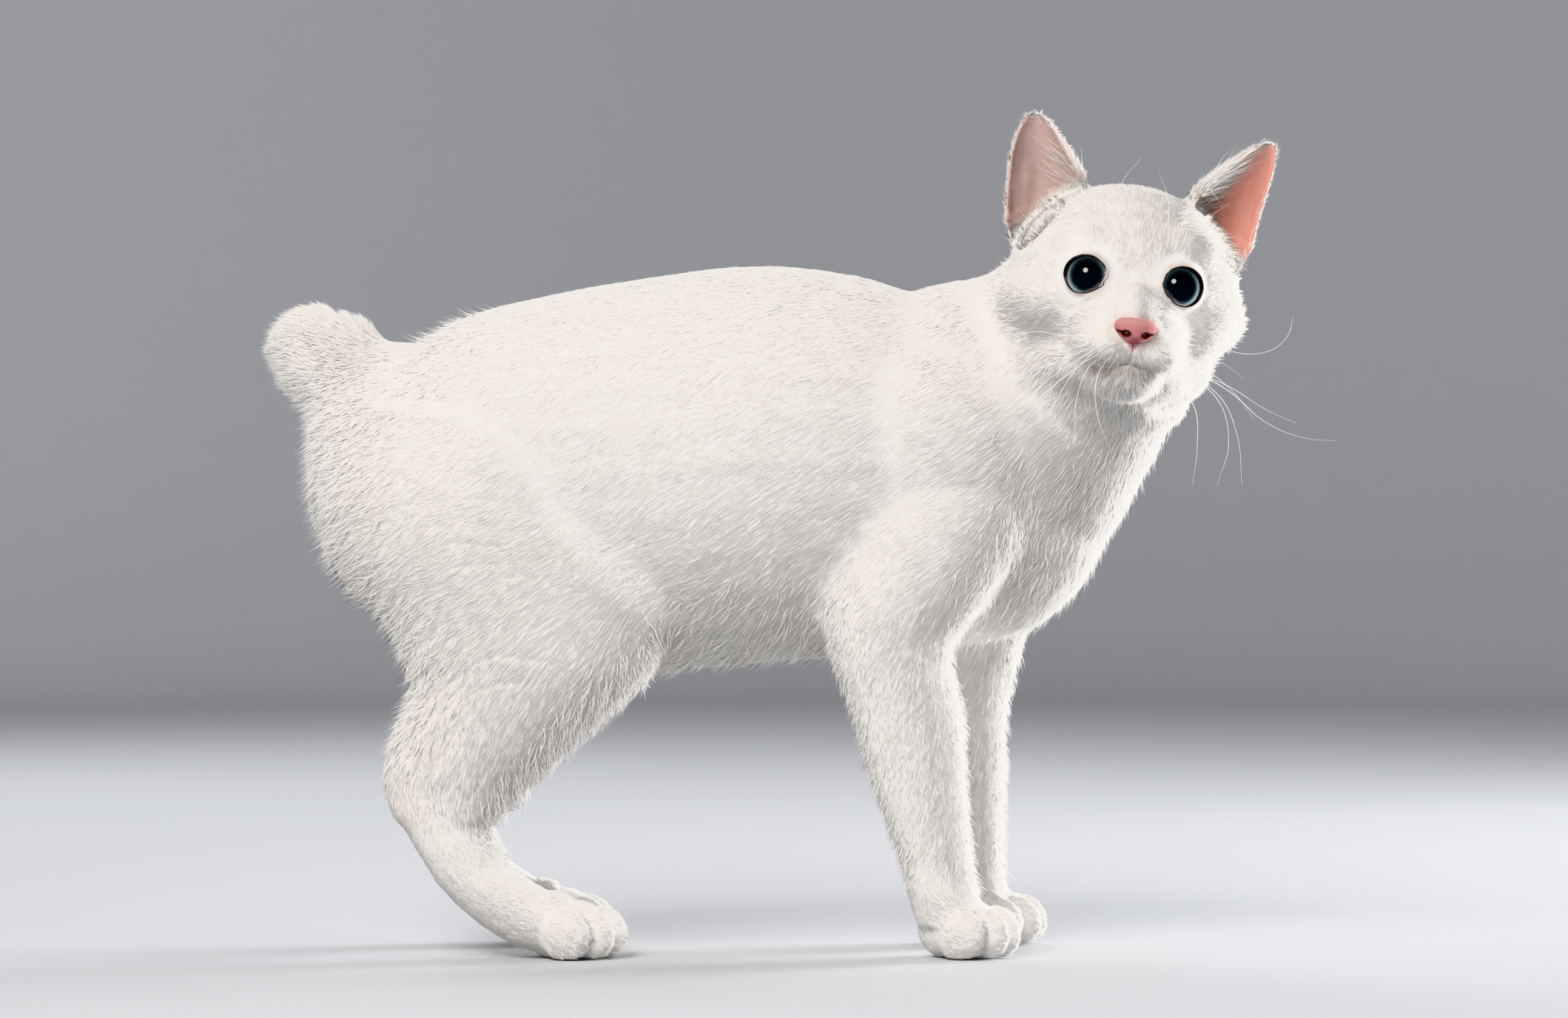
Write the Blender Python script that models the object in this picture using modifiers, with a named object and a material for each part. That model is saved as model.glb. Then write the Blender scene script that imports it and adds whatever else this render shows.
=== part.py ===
# A Japanese bobtail cat, life size, standing with its head turned to its right.
# x runs from the tail to the chest, y to the cat's left, z up from the floor. All sizes are in metres.
import math

import bmesh
import bpy
import numpy as np
from mathutils import Matrix, Vector

NAME = "japanese_bobtail_cat"
GAP = 0.0003  # between two parts that touch
FLOOR_DEPTH = 0.05  # of the block that flattens the soles
REACH = 0.3  # longer than any cut has to be

FINE = 0.00125  # size of the grid that fuses the forms
SECTION_POINTS = 28
STEPS_PER_STATION = 4
BALL_RINGS = 14
SMALL_RINGS = 10

# Outline of the trunk: x, height of the back, height of the belly, half its width.
TRUNK = (
    (-0.1800, 0.196, 0.176, 0.010),
    (-0.1766, 0.213, 0.158, 0.024),
    (-0.1655, 0.2225, 0.142, 0.036),
    (-0.1450, 0.2270, 0.130, 0.043),
    (-0.120, 0.2412, 0.119, 0.047),
    (-0.090, 0.2491, 0.110, 0.049),
    (-0.055, 0.2555, 0.1045, 0.051),
    (-0.015, 0.2604, 0.1075, 0.054),
    (0.015, 0.2588, 0.1100, 0.0535),
    (0.045, 0.2520, 0.1125, 0.049),
    (0.070, 0.2400, 0.1150, 0.044),
    (0.095, 0.2220, 0.1220, 0.036),
    (0.1120, 0.2000, 0.1370, 0.026),
    (0.1218, 0.1780, 0.1520, 0.012),
)

# Neck: centre, half its depth, half its width.
NECK = (
    (0.066, 0.000, 0.188, 0.0610, 0.0460),
    (0.0865, 0.000, 0.2035, 0.0600, 0.0460),
    (0.1030, -0.003, 0.2172, 0.0510, 0.0435),
    (0.1130, -0.010, 0.2275, 0.0458, 0.0420),
    (0.1230, -0.018, 0.2365, 0.0430, 0.0400),
)

# The stub of the tail: centre, half its depth, half its width.
TAIL = (
    (-0.138, 0.0, 0.2074, 0.0243, 0.0250),
    (-0.1575, 0.0, 0.2118, 0.0216, 0.0218),
    (-0.1685, 0.0, 0.2203, 0.0212, 0.0192),
    (-0.1765, 0.0, 0.2270, 0.0190, 0.0174),
)
TAIL_TIP = (-0.1770, 0.0, 0.2270)
TAIL_TIP_RADIUS = 0.0171

# Forelegs: height, back edge and front edge of the right leg and of the left one, y, half its width.
FORELEGS = (
    (0.182, 0.034, 0.096, 0.036, 0.096, 0.028, 0.020),
    (0.158, 0.020, 0.092, 0.028, 0.099, 0.031, 0.0235),
    (0.134, 0.0145, 0.078, 0.030, 0.099, 0.0335, 0.0225),
    (0.114, 0.0155, 0.0635, 0.038, 0.0925, 0.034, 0.0190),
    (0.0914, 0.0240, 0.0672, 0.0448, 0.0870, 0.0335, 0.0167),
    (0.067, 0.0310, 0.0684, 0.0495, 0.0857, 0.0325, 0.0152),
    (0.0404, 0.0408, 0.0705, 0.0565, 0.0850, 0.032, 0.0138),
    (0.025, 0.0450, 0.0728, 0.0583, 0.0855, 0.032, 0.0135),
    (0.012, 0.0492, 0.0768, 0.0620, 0.0890, 0.032, 0.0138),
)

# Thighs and shanks: height, back edge, front edge, y, half the width.
HINDLEGS = (
    (0.205, -0.164, -0.078, 0.024, 0.020),
    (0.175, -0.1745, -0.066, 0.027, 0.026),
    (0.150, -0.1680, -0.053, 0.030, 0.027),
    (0.128, -0.1520, -0.044, 0.032, 0.0255),
    (0.112, -0.1435, -0.0455, 0.0335, 0.0235),
    (0.100, -0.1400, -0.0550, 0.034, 0.0215),
    (0.0838, -0.1460, -0.0725, 0.034, 0.0188),
    (0.0673, -0.1510, -0.0915, 0.034, 0.0163),
    (0.059, -0.1495, -0.0995, 0.034, 0.0148),
    (0.0508, -0.1480, -0.1067, 0.034, 0.0137),
)

# From hock to toes: x in the right foot and in the left one, height, half its thickness.
HIND_FEET = (
    (-0.1325, -0.1325, 0.0600, 0.0150),
    (-0.1240, -0.1280, 0.0440, 0.0146),
    (-0.1120, -0.1190, 0.0280, 0.0130),
    (-0.0960, -0.1030, 0.0160, 0.0126),
    (-0.0820, -0.0900, 0.0127, 0.0124),
)
HIND_FOOT_Y = 0.034
HIND_FOOT_FLATTER = 0.88  # width of the foot against its thickness

# Paws: middle of each and its turn to the cat's left, and how its ball and toes lie round that.
PAWS = {
    "forepaw_right": (0.0685, -0.032, -30),
    "forepaw_left": (0.0810, 0.032, -14),
    "hindpaw_right": (-0.0780, -0.034, -28),
    "hindpaw_left": (-0.0855, 0.034, -10),
}
PAW_BALL = (-0.0030, 0.0, 0.0100)
PAW_RADII = (0.0170, 0.0142, 0.0125)
TOE_RADII = (0.0108, 0.0051, 0.0103)
TOE_HEIGHT = 0.0090
TOE_SPREAD = 0.0080  # from one toe to the next
TOE_FORWARD = (0.0030, 0.0086, 0.0092, 0.0052)
MIDDLE_TOE = 1.5
WRIST = 0.0225  # height of the cut between foreleg and paw

# Muscles that round out the limbs where they join the trunk: centre, radii, turn about y.
MUSCLES = (
    ((0.060, 0.029, 0.188), (0.044, 0.0225, 0.044), 35),
    ((-0.116, 0.027, 0.166), (0.058, 0.0265, 0.046), -12),
)

# The head, in a frame of its own: x to its left, y to its back, z up, from the middle between the eyes.
HEAD_PLACE = (0.1268, -0.030, 0.2507)
HEAD_TURN = 3.5  # towards the chest side, from facing straight along -y
HEAD_LEAN = 7  # towards the chest side
# Its forms: centre, radii, how far each tips its front down. Those of the second list come in pairs.
HEAD_FORMS = (
    ((0.000, 0.004, -0.0015), (0.0445, 0.0400, 0.0397), 0),
    ((0.000, -0.004, -0.032), (0.0300, 0.0340, 0.0135), 0),
    ((0.000, -0.026, -0.020), (0.0225, 0.0255, 0.0175), 12),
    ((0.000, -0.033, -0.0095), (0.0100, 0.0235, 0.0100), 30),
    ((0.000, -0.030, -0.0345), (0.0135, 0.0160, 0.0100), 0),
)
HEAD_PAIRS = (
    ((0.0200, 0.001, -0.0095), (0.0272, 0.0300, 0.0200), 0),
    ((0.0175, 0.004, -0.0262), (0.0202, 0.0250, 0.0165), 0),
    ((0.0160, -0.0175, 0.0120), (0.0160, 0.0140, 0.0130), 0),
    ((0.0082, -0.0365, -0.0250), (0.0120, 0.0148, 0.0092), 6),
)
EYE = (0.0153, -0.0252, 0.0)
EYE_RADIUS = 0.0107
LID_RADIUS = 0.0083
LID_THICK = 0.0017
LID_POINTS = 8
EYE_OUTWARD = 17  # degrees that each lid's ring faces away from the face

NOSE = (0.0, -0.0502, -0.0192)
NOSE_RADII = (0.0074, 0.0058, 0.0052)
NOSE_TAPER = 0.34  # share by which it is wider at its top
NOSTRIL = (0.0038, -0.0545, -0.0203)
NOSTRIL_RADII = (0.0016, 0.0030, 0.0011)
NOSTRIL_RINGS = 5

# The line of the mouth from corner to corner, and the groove from the nose down to it: x and height.
MOUTH = ((-0.0165, -0.0318), (-0.0125, -0.0332), (-0.0085, -0.0334), (-0.0040, -0.0326), (0.0, -0.0312),
         (0.0040, -0.0326), (0.0085, -0.0334), (0.0125, -0.0332), (0.0165, -0.0318))
PHILTRUM = ((0.0, -0.0240), (0.0, -0.0270), (0.0, -0.0305))
GROOVE_RADIUS = 0.0011
GROOVE_POINTS = 6

# An ear: height, middle of the right one and of the left one, y, half the width and the depth of its cup.
EAR = (
    (0.000, 0.0270, 0.0270, 0.002, 0.0080, 0.0080),
    (0.010, 0.0298, 0.0298, 0.002, 0.0150, 0.0125),
    (0.022, 0.0308, 0.0310, 0.002, 0.0176, 0.0135),
    (0.033, 0.0320, 0.0330, 0.002, 0.0170, 0.0130),
    (0.043, 0.0352, 0.0378, 0.002, 0.0138, 0.0105),
    (0.051, 0.0380, 0.0426, 0.001, 0.0096, 0.0075),
    (0.0565, 0.0398, 0.0460, 0.000, 0.0056, 0.0046),
    (0.0592, 0.0408, 0.0478, 0.000, 0.0028, 0.0026),
)
EAR_STEPS = 2
EAR_WALL = 0.0019
THIN_SHARE = 0.6  # of half the width, where the wall gets thinner towards the tip
EAR_OPEN = 112  # degrees on each side of its back that the wall runs round
EAR_FACES = 30  # degrees outwards from straight ahead
EAR_POINTS = 9
EAR_HOLLOW = (0.0345, -0.005, 0.0195)
EAR_HOLLOW_RADII = (0.0095, 0.0080, 0.0130)

# Where the fused body is smoothed, so that the forms run into one another: centre, radius, share.
SOFT = (
    ((0.060, 0.0, 0.190), 0.085, 1.0),
    ((0.045, 0.034, 0.130), 0.045, 1.0),
    ((0.060, 0.034, 0.130), 0.045, 1.0),
    ((-0.118, 0.030, 0.160), 0.072, 1.0),
    ((-0.070, 0.030, 0.110), 0.040, 0.9),
    ((-0.062, 0.040, 0.150), 0.040, 1.0),
    ((0.088, 0.036, 0.165), 0.036, 1.0),
    ((-0.165, 0.0, 0.205), 0.034, 0.35),
    ((-0.150, 0.020, 0.205), 0.027, 1.0),
    ((-0.142, 0.034, 0.052), 0.027, 1.0),
    ((0.108, -0.005, 0.222), 0.050, 1.0),
    ((0.128, -0.055, 0.243), 0.085, 0.20),
    ((0.094, -0.036, 0.222), 0.030, 1.0),
    ((0.000, 0.0, 0.180), 0.110, 0.7),
)
SOFT_EDGE = 1.6  # how steeply each place fades at its rim
SOFT_ROUNDS = 110
ALL_ROUNDS = 4
GROUP_STEPS = 20

# Cuts between the parts: a point of each and the way its far side lies.
HEAD_CUT = ((0.112, -0.012, 0.230), (0.51, -0.57, 0.64))
NECK_CUT = ((0.0875, 0.0, 0.2045), (0.778, 0.0, 0.628))
TAIL_CUT = ((-0.1650, 0.0, 0.2175), (-0.58, 0.0, 0.815))
TAIL_BEHIND = -0.140  # the tail's cut goes no further forward
# Blocks that take off each right leg: two corners, then how their tops slope along x and y.
LEG_BLOCKS = {
    "foreleg": ((0.008, -0.090, -0.02), (0.106, -0.005, 0.1465), (0.20, -1.10)),
    "hindleg": ((-0.200, -0.090, -0.02), (-0.035, -0.005, 0.1595), (-0.33, -1.05)),
}
PAW_BLOCK = (0.036, 0.028)  # half its length and width
HIND_PAW_TOP = (0.038, 1.15)  # height over the paw's middle, and slope

HEAD_TRIANGLES = 2800
BODY_TRIANGLES = 5400

SHARP = math.radians(50)  # edges that are shaded as creases
FUR_ROUGHNESS = 0.9
SKIN_ROUGHNESS = 0.6
EYE_ROUGHNESS = 0.1
FUR = (0.90, 0.87, 0.84)
SKIN = (0.78, 0.45, 0.42)
EYEBALL = (0.02, 0.03, 0.05)


def clear_scene():
    for obj in list(bpy.data.objects):
        bpy.data.objects.remove(obj)


def collection(name, hidden):
    made = bpy.data.collections.new(name)
    bpy.context.scene.collection.children.link(made)
    made.hide_render = hidden
    return made


def material(name, colour, roughness):
    made = bpy.data.materials.new(name)
    made.use_nodes = True
    shader = made.node_tree.nodes["Principled BSDF"]
    shader.inputs["Base Color"].default_value = (*colour, 1)
    shader.inputs["Roughness"].default_value = roughness
    shader.inputs["Metallic"].default_value = 0
    return made


def mesh_object(name, bm, where):
    bmesh.ops.recalc_face_normals(bm, faces=bm.faces)
    mesh = bpy.data.meshes.new(name)
    bm.to_mesh(mesh)
    bm.free()
    obj = bpy.data.objects.new(name, mesh)
    where.objects.link(obj)
    return obj


def between(stations, steps=STEPS_PER_STATION):
    """The stations with a smooth curve's points between them, each as a row of numbers."""
    rows = np.array(stations, float)
    before = np.vstack([2 * rows[0] - rows[1], rows, 2 * rows[-1] - rows[-2]])
    found = []
    for a, b, c, d in zip(before, before[1:], before[2:], before[3:]):
        for step in range(steps):
            t = step / steps
            bend = 2 * b + (c - a) * t + (2 * a - 5 * b + 4 * c - d) * t**2 + (3 * b - a - 3 * c + d) * t**3
            found.append(bend / 2)
    return np.array(found + [rows[-1]])


def skin_rings(bm, rings):
    """Joins rings of points to a closed tube with flat ends."""
    loops = [[bm.verts.new(point) for point in ring] for ring in rings]
    count = len(loops[0])
    for one, two in zip(loops, loops[1:]):
        for i in range(count):
            j = (i + 1) % count
            bm.faces.new((one[i], one[j], two[j], two[i]))
    bm.faces.new(loops[0][::-1])
    bm.faces.new(loops[-1])


def ellipse(middle, along, across):
    turns = [2 * math.pi * i / SECTION_POINTS for i in range(SECTION_POINTS)]
    return [middle + along * math.cos(t) + across * math.sin(t) for t in turns]


def trunk(where):
    rings = []
    for x, top, bottom, half in between(TRUNK):
        middle = Vector((x, 0, (top + bottom) / 2))
        rings.append(ellipse(middle, Vector((0, 0, (top - bottom) / 2)), Vector((0, half, 0))))
    bm = bmesh.new()
    skin_rings(bm, rings)
    return mesh_object("trunk", bm, where)


def tube(name, stations, where):
    """A bent body of elliptical sections, each square to the line through the middles."""
    rows = between(stations)
    rings = []
    for i, (x, y, z, deep, wide) in enumerate(rows):
        ahead = Vector(rows[min(i + 1, len(rows) - 1), :3] - rows[max(i - 1, 0), :3]).normalized()
        side = Vector((0, 0, 1)).cross(ahead).normalized()
        rings.append(ellipse(Vector((x, y, z)), ahead.cross(side) * deep, side * wide))
    bm = bmesh.new()
    skin_rings(bm, rings)
    return mesh_object(name, bm, where)


def slices(name, stations, side, where):
    """A limb of level slices, each from its back edge to its front edge."""
    rings = []
    for z, back, front, y, half in between(stations):
        middle = Vector(((back + front) / 2, side * y, z))
        rings.append(ellipse(middle, Vector(((front - back) / 2, 0, 0)), Vector((0, half, 0))))
    bm = bmesh.new()
    skin_rings(bm, rings)
    return mesh_object(name, bm, where)


def ball(name, centre, radii, where, turn=Matrix(), frame=Matrix(), rings=BALL_RINGS, taper=0):
    bm = bmesh.new()
    bmesh.ops.create_uvsphere(bm, u_segments=2 * rings, v_segments=rings, radius=1)
    for vert in bm.verts:
        vert.co.x *= 1 + taper * vert.co.z
    shape = frame @ Matrix.Translation(centre) @ turn @ Matrix.Diagonal((*radii, 1))
    bmesh.ops.transform(bm, matrix=shape, verts=bm.verts)
    return mesh_object(name, bm, where)


def head_frame():
    turn = Matrix.Rotation(math.radians(HEAD_TURN), 4, "Z")
    lean = Matrix.Rotation(math.radians(HEAD_LEAN), 4, "Y")
    return Matrix.Translation(HEAD_PLACE) @ turn @ lean


def mirrored(point, side):
    return (side * point[0], point[1], point[2])


def add_head(where):
    frame = head_frame()
    for n, (centre, radii, tip) in enumerate(HEAD_FORMS):
        turn = Matrix.Rotation(math.radians(tip), 4, "X")
        ball(f"head_form_{n}", centre, radii, where, turn, frame)
    for side in (-1, 1):
        for n, (centre, radii, tip) in enumerate(HEAD_PAIRS):
            turn = Matrix.Rotation(math.radians(tip), 4, "X")
            ball(f"head_pair_{n}", mirrored(centre, side), radii, where, turn, frame)
        add_lids(frame, side, where)


def ring_of(middle, out, up, radius, count):
    turns = [2 * math.pi * k / count for k in range(count)]
    return [middle + (out * math.cos(t) + up * math.sin(t)) * radius for t in turns]


def add_lids(frame, side, where):
    """A low ring round the eye, on the circle where the eyeball comes out of the head."""
    depth = math.sqrt(EYE_RADIUS**2 - LID_RADIUS**2)
    facing = Matrix.Rotation(math.radians(side * EYE_OUTWARD), 4, "Z")
    upright = Matrix.Rotation(math.radians(90), 4, "X")
    place = frame @ Matrix.Translation(mirrored(EYE, side)) @ facing @ upright
    ahead = Vector((0, 0, 1))
    bm = bmesh.new()
    loops = []
    for i in range(SECTION_POINTS):
        turn = 2 * math.pi * i / SECTION_POINTS
        out = Vector((math.cos(turn), math.sin(turn), 0))
        ring = ring_of(out * LID_RADIUS + ahead * depth, out, ahead, LID_THICK, LID_POINTS)
        loops.append([bm.verts.new(place @ point) for point in ring])
    for one, two in zip(loops, loops[1:] + loops[:1]):
        for k in range(LID_POINTS):
            j = (k + 1) % LID_POINTS
            bm.faces.new((one[k], one[j], two[j], two[k]))
    mesh_object("lid_ring", bm, where)


def add_limbs(where):
    for side, back, front in ((-1, 1, 2), (1, 3, 4)):
        slices("foreleg_form", [(row[0], row[back], row[front], row[5], row[6]) for row in FORELEGS],
               side, where)
        slices("hindleg_form", HINDLEGS, side, where)
        column = 0 if side < 0 else 1
        tube("foot_form", [(row[column], side * HIND_FOOT_Y, row[2], row[3], row[3] * HIND_FOOT_FLATTER)
                           for row in HIND_FEET], where)
        for centre, radii, tip in MUSCLES:
            turn = Matrix.Rotation(math.radians(tip), 4, "Y")
            ball("muscle", (centre[0], side * centre[1], centre[2]), radii, where, turn)
    for x, y, turn in PAWS.values():
        frame = Matrix.Translation((x, y, 0)) @ Matrix.Rotation(math.radians(turn), 4, "Z")
        ball("paw_form", PAW_BALL, PAW_RADII, where, frame=frame)
        for n, forward in enumerate(TOE_FORWARD):
            ball("toe", (forward, (n - MIDDLE_TOE) * TOE_SPREAD, TOE_HEIGHT), TOE_RADII, where, frame=frame)


def evaluated(obj, where):
    """A plain mesh object with the shape that obj has after its modifiers, in place of obj."""
    graph = bpy.context.evaluated_depsgraph_get()
    mesh = bpy.data.meshes.new_from_object(obj.evaluated_get(graph))
    name = obj.name
    bpy.data.objects.remove(obj)
    made = bpy.data.objects.new(name, mesh)
    where.objects.link(made)
    return made


def points_of(obj):
    flat = np.empty(len(obj.data.vertices) * 3, np.float32)
    obj.data.vertices.foreach_get("co", flat)
    return flat.reshape(-1, 3)


def weigh(obj, places):
    """A vertex group that is strongest at the given places and their mirror images, and fades outwards."""
    points = points_of(obj)
    weight = np.zeros(len(points))
    for centre, radius, share in places:
        for side in (-1, 1) if centre[1] > 0 else (1,):
            away = np.linalg.norm(points - (centre[0], side * centre[1], centre[2]), axis=1) / radius
            weight = np.maximum(weight, share * np.clip(SOFT_EDGE * (1 - away), 0, 1))
    group = obj.vertex_groups.new(name="soft")
    level = np.round(weight * GROUP_STEPS).astype(int)
    for n in range(1, GROUP_STEPS + 1):
        group.add(np.flatnonzero(level == n).tolist(), n / GROUP_STEPS, "REPLACE")
    return group.name


def fuse(pieces, where):
    """One closed surface round all the pieces, smoothed where they join."""
    bm = bmesh.new()
    for piece in list(pieces.objects):
        bm.from_mesh(piece.data)
        bpy.data.objects.remove(piece)
    body = mesh_object("torso", bm, where)
    remesh = body.modifiers.new("fuse", "REMESH")
    remesh.mode = "VOXEL"
    remesh.voxel_size = FINE
    body = evaluated(body, where)
    group = weigh(body, SOFT)
    smooth = body.modifiers.new("soft joins", "SMOOTH")
    smooth.iterations = SOFT_ROUNDS
    smooth.vertex_group = group
    even = body.modifiers.new("even", "SMOOTH")
    even.iterations = ALL_ROUNDS
    return evaluated(body, where)


def thin_out(obj, triangles, where):
    fewer = obj.modifiers.new("fewer", "DECIMATE")
    fewer.ratio = min(1, triangles / sum(len(face.vertices) - 2 for face in obj.data.polygons))
    return evaluated(obj, where)


def keep_largest(obj):
    bm = bmesh.new()
    bm.from_mesh(obj.data)
    left = set(bm.verts)
    shells = []
    while left:
        shell, edge = [], [left.pop()]
        while edge:
            vert = edge.pop()
            shell.append(vert)
            for link in vert.link_edges:
                other = link.other_vert(vert)
                if other in left:
                    left.discard(other)
                    edge.append(other)
        shells.append(shell)
    shells.sort(key=len)
    for shell in shells[:-1]:
        bmesh.ops.delete(bm, geom=shell, context="VERTS")
    bm.to_mesh(obj.data)
    bm.free()


def boolean(obj, other, how, where, solver="EXACT"):
    """obj with other cut away or kept in common. Only the largest closed surface stays."""
    cut = obj.modifiers.new(how, "BOOLEAN")
    cut.operation = how
    cut.solver = solver
    cut.object = other
    made = evaluated(obj, where)
    keep_largest(made)
    return made


def copy_of(obj, name, where):
    made = bpy.data.objects.new(name, obj.data.copy())
    where.objects.link(made)
    return made


def block(name, low, high, where, top_slopes=(0, 0), turn=Matrix()):
    """A box between two corners, whose top may slope along x and y."""
    bm = bmesh.new()
    bmesh.ops.create_cube(bm, size=1)
    low, high = Vector(low), Vector(high)
    middle = (low + high) / 2
    for vert in bm.verts:
        vert.co = Vector(a * b for a, b in zip(vert.co, high - low)) + middle
        if vert.co.z > middle.z:
            vert.co.z += (vert.co.x - middle.x) * top_slopes[0] + (vert.co.y - middle.y) * top_slopes[1]
    bmesh.ops.transform(bm, matrix=turn, verts=bm.verts)
    return mesh_object(name, bm, where)


def beyond(name, cut, where, limit=None):
    """A block on the far side of a cut: limit bounds it in front, along x."""
    point, way = Vector(cut[0]), Vector(cut[1])
    turn = Matrix.Translation(point) @ way.to_track_quat("Z", "Y").to_matrix().to_4x4()
    made = block(name, (-REACH, -REACH, 0), (REACH, REACH, REACH), where, turn=turn)
    if limit is not None:
        behind = block("behind", (-2 * REACH, -REACH, -REACH), (limit, REACH, 2 * REACH), where)
        made = boolean(made, behind, "INTERSECT", where)
    return made


def grown(obj, amount, name, where):
    """A copy with each face moved out by the amount."""
    copy = copy_of(obj, name, where)
    bm = bmesh.new()
    bm.from_mesh(copy.data)
    moves = {vert: vert.normal * amount * vert.calc_shell_factor() for vert in bm.verts}
    for vert, move in moves.items():
        vert.co += move
    bm.to_mesh(copy.data)
    bm.free()
    return copy


def part_off(rest, name, cutter, parts, cutters):
    """Takes what lies inside the cutter off the rest, with the gap between them."""
    node = boolean(copy_of(rest, name, parts), cutter, "INTERSECT", parts)
    wider = grown(cutter, GAP, cutter.name + "_and_gap", cutters)
    return node, boolean(rest, wider, "DIFFERENCE", parts)


def part_head(body, parts, cutters):
    """Head and rest are thinned apart, so that the head keeps its detail, and cut again for the gap."""
    cutter = beyond("head_side", HEAD_CUT, cutters)
    head = boolean(copy_of(body, "head", parts), cutter, "INTERSECT", parts, "MANIFOLD")
    body = boolean(body, cutter, "DIFFERENCE", parts, "MANIFOLD")
    head = thin_out(head, HEAD_TRIANGLES, parts)
    body = thin_out(body, BODY_TRIANGLES, parts)
    inner = grown(cutter, -GAP / 2, "head_side_inner", cutters)
    outer = grown(cutter, GAP / 2, "head_side_outer", cutters)
    return boolean(head, inner, "INTERSECT", parts), boolean(body, outer, "DIFFERENCE", parts)


def part_limbs(body, parts, cutters):
    for kind, (low, high, slopes) in LEG_BLOCKS.items():
        for side, word in ((-1, "right"), (1, "left")):
            ys = sorted((-side * low[1], -side * high[1]))
            cutter = block(f"{kind}_{word}_side", (low[0], ys[0], low[2]), (high[0], ys[1], high[2]),
                           cutters, (slopes[0], -side * slopes[1]))
            leg, body = part_off(body, f"{kind}_{word}", cutter, parts, cutters)
            name = f"{kind[:4]}paw_{word}"
            x, y, _ = PAWS[name]
            top, slope = (WRIST, 0) if kind == "foreleg" else HIND_PAW_TOP
            cutter = block(name + "_side", (x - PAW_BLOCK[0], y - PAW_BLOCK[1], -FLOOR_DEPTH),
                           (x + PAW_BLOCK[0], y + PAW_BLOCK[1], top), cutters, (slope, 0))
            part_off(leg, name, cutter, parts, cutters)
    return body


def ear(side, parts):
    """A cup with a thin wall, open at the front, that narrows to the tip."""
    frame = head_frame()
    facing = math.radians(EAR_FACES)
    ahead = Vector((side * math.sin(facing), -math.cos(facing), 0))
    across = Vector((0, 0, 1)).cross(ahead)
    rings = []
    for z, right, left, y, half, deep in between(EAR, EAR_STEPS):
        middle = Vector((left if side > 0 else -right, y, z))
        wall = min(EAR_WALL, THIN_SHARE * half)
        outer, inner = [], []
        for i in range(EAR_POINTS + 1):
            turn = math.radians(EAR_OPEN * (2 * i / EAR_POINTS - 1))
            outer.append(middle - ahead * deep * math.cos(turn) + across * half * math.sin(turn))
            inner.append(middle - ahead * (deep - wall) * math.cos(turn)
                         + across * (half - wall) * math.sin(turn))
        rings.append([frame @ point for point in outer + inner[::-1]])
    bm = bmesh.new()
    skin_rings(bm, rings)
    word = "left" if side > 0 else "right"
    return mesh_object(f"ear_{word}", bm, parts)


def on_head(head, x, z):
    """The point of the face that lies straight in front of a place given by x and height."""
    frame = head_frame()
    start = frame @ Vector((x, -REACH, z))
    way = frame.to_3x3() @ Vector((0, 1, 0))
    found, point, _, _ = head.ray_cast(start, way)
    return point if found else start


def groove(name, head, route, where):
    """A thin tube along the face, to cut a line into it."""
    points = [on_head(head, x, z) for x, z in between(route)]
    side = head_frame().to_3x3() @ Vector((0, -1, 0))
    rings = []
    for i, point in enumerate(points):
        ahead = (points[min(i + 1, len(points) - 1)] - points[max(i - 1, 0)]).normalized()
        up = ahead.cross(side).normalized()
        rings.append(ring_of(point, up.cross(ahead), up, GROOVE_RADIUS, GROOVE_POINTS))
    bm = bmesh.new()
    skin_rings(bm, rings)
    return mesh_object(name, bm, where)


def add_face(head, parts, cutters):
    """Ears, eyes and nose as parts of their own, and the lines cut into the head."""
    frame = head_frame()
    for side in (-1, 1):
        hollow = ball("ear_hollow", mirrored(EAR_HOLLOW, side), EAR_HOLLOW_RADII, cutters, frame=frame,
                      rings=SMALL_RINGS)
        head = boolean(head, hollow, "DIFFERENCE", parts)
    around = grown(head, GAP, "round_the_head", cutters)
    for side in (-1, 1):
        boolean(ear(side, parts), around, "DIFFERENCE", parts)
    nose = ball("nose", NOSE, NOSE_RADII, parts, frame=frame, rings=SMALL_RINGS, taper=NOSE_TAPER)
    nose = boolean(nose, around, "DIFFERENCE", parts)
    cuts = [groove("mouth_line", head, MOUTH, cutters), groove("philtrum", head, PHILTRUM, cutters)]
    for side, word in ((-1, "right"), (1, "left")):
        place = mirrored(EYE, side)
        ball(f"eye_{word}", place, [EYE_RADIUS] * 3, parts, frame=frame, rings=SMALL_RINGS)
        cuts.append(ball("socket", place, [EYE_RADIUS + GAP] * 3, cutters, frame=frame, rings=SMALL_RINGS))
        nostril = ball("nostril", mirrored(NOSTRIL, side), NOSTRIL_RADII, cutters, frame=frame,
                       rings=NOSTRIL_RINGS)
        nose = boolean(nose, nostril, "DIFFERENCE", parts)
        cuts.append(nostril)
    for cutter in cuts:
        head = boolean(head, cutter, "DIFFERENCE", parts)


def settle(parts):
    """Moves the cat so that the middle of its outline from above lies over the origin."""
    boxes = np.array([[tuple(obj.matrix_world @ Vector(corner)) for corner in obj.bound_box]
                      for obj in parts.objects])
    low, high = boxes.min(axis=(0, 1)), boxes.max(axis=(0, 1))
    move = Vector((-(low[0] + high[0]) / 2, -(low[1] + high[1]) / 2, -low[2]))
    for obj in parts.objects:
        obj.data.transform(Matrix.Translation(move))


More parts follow.
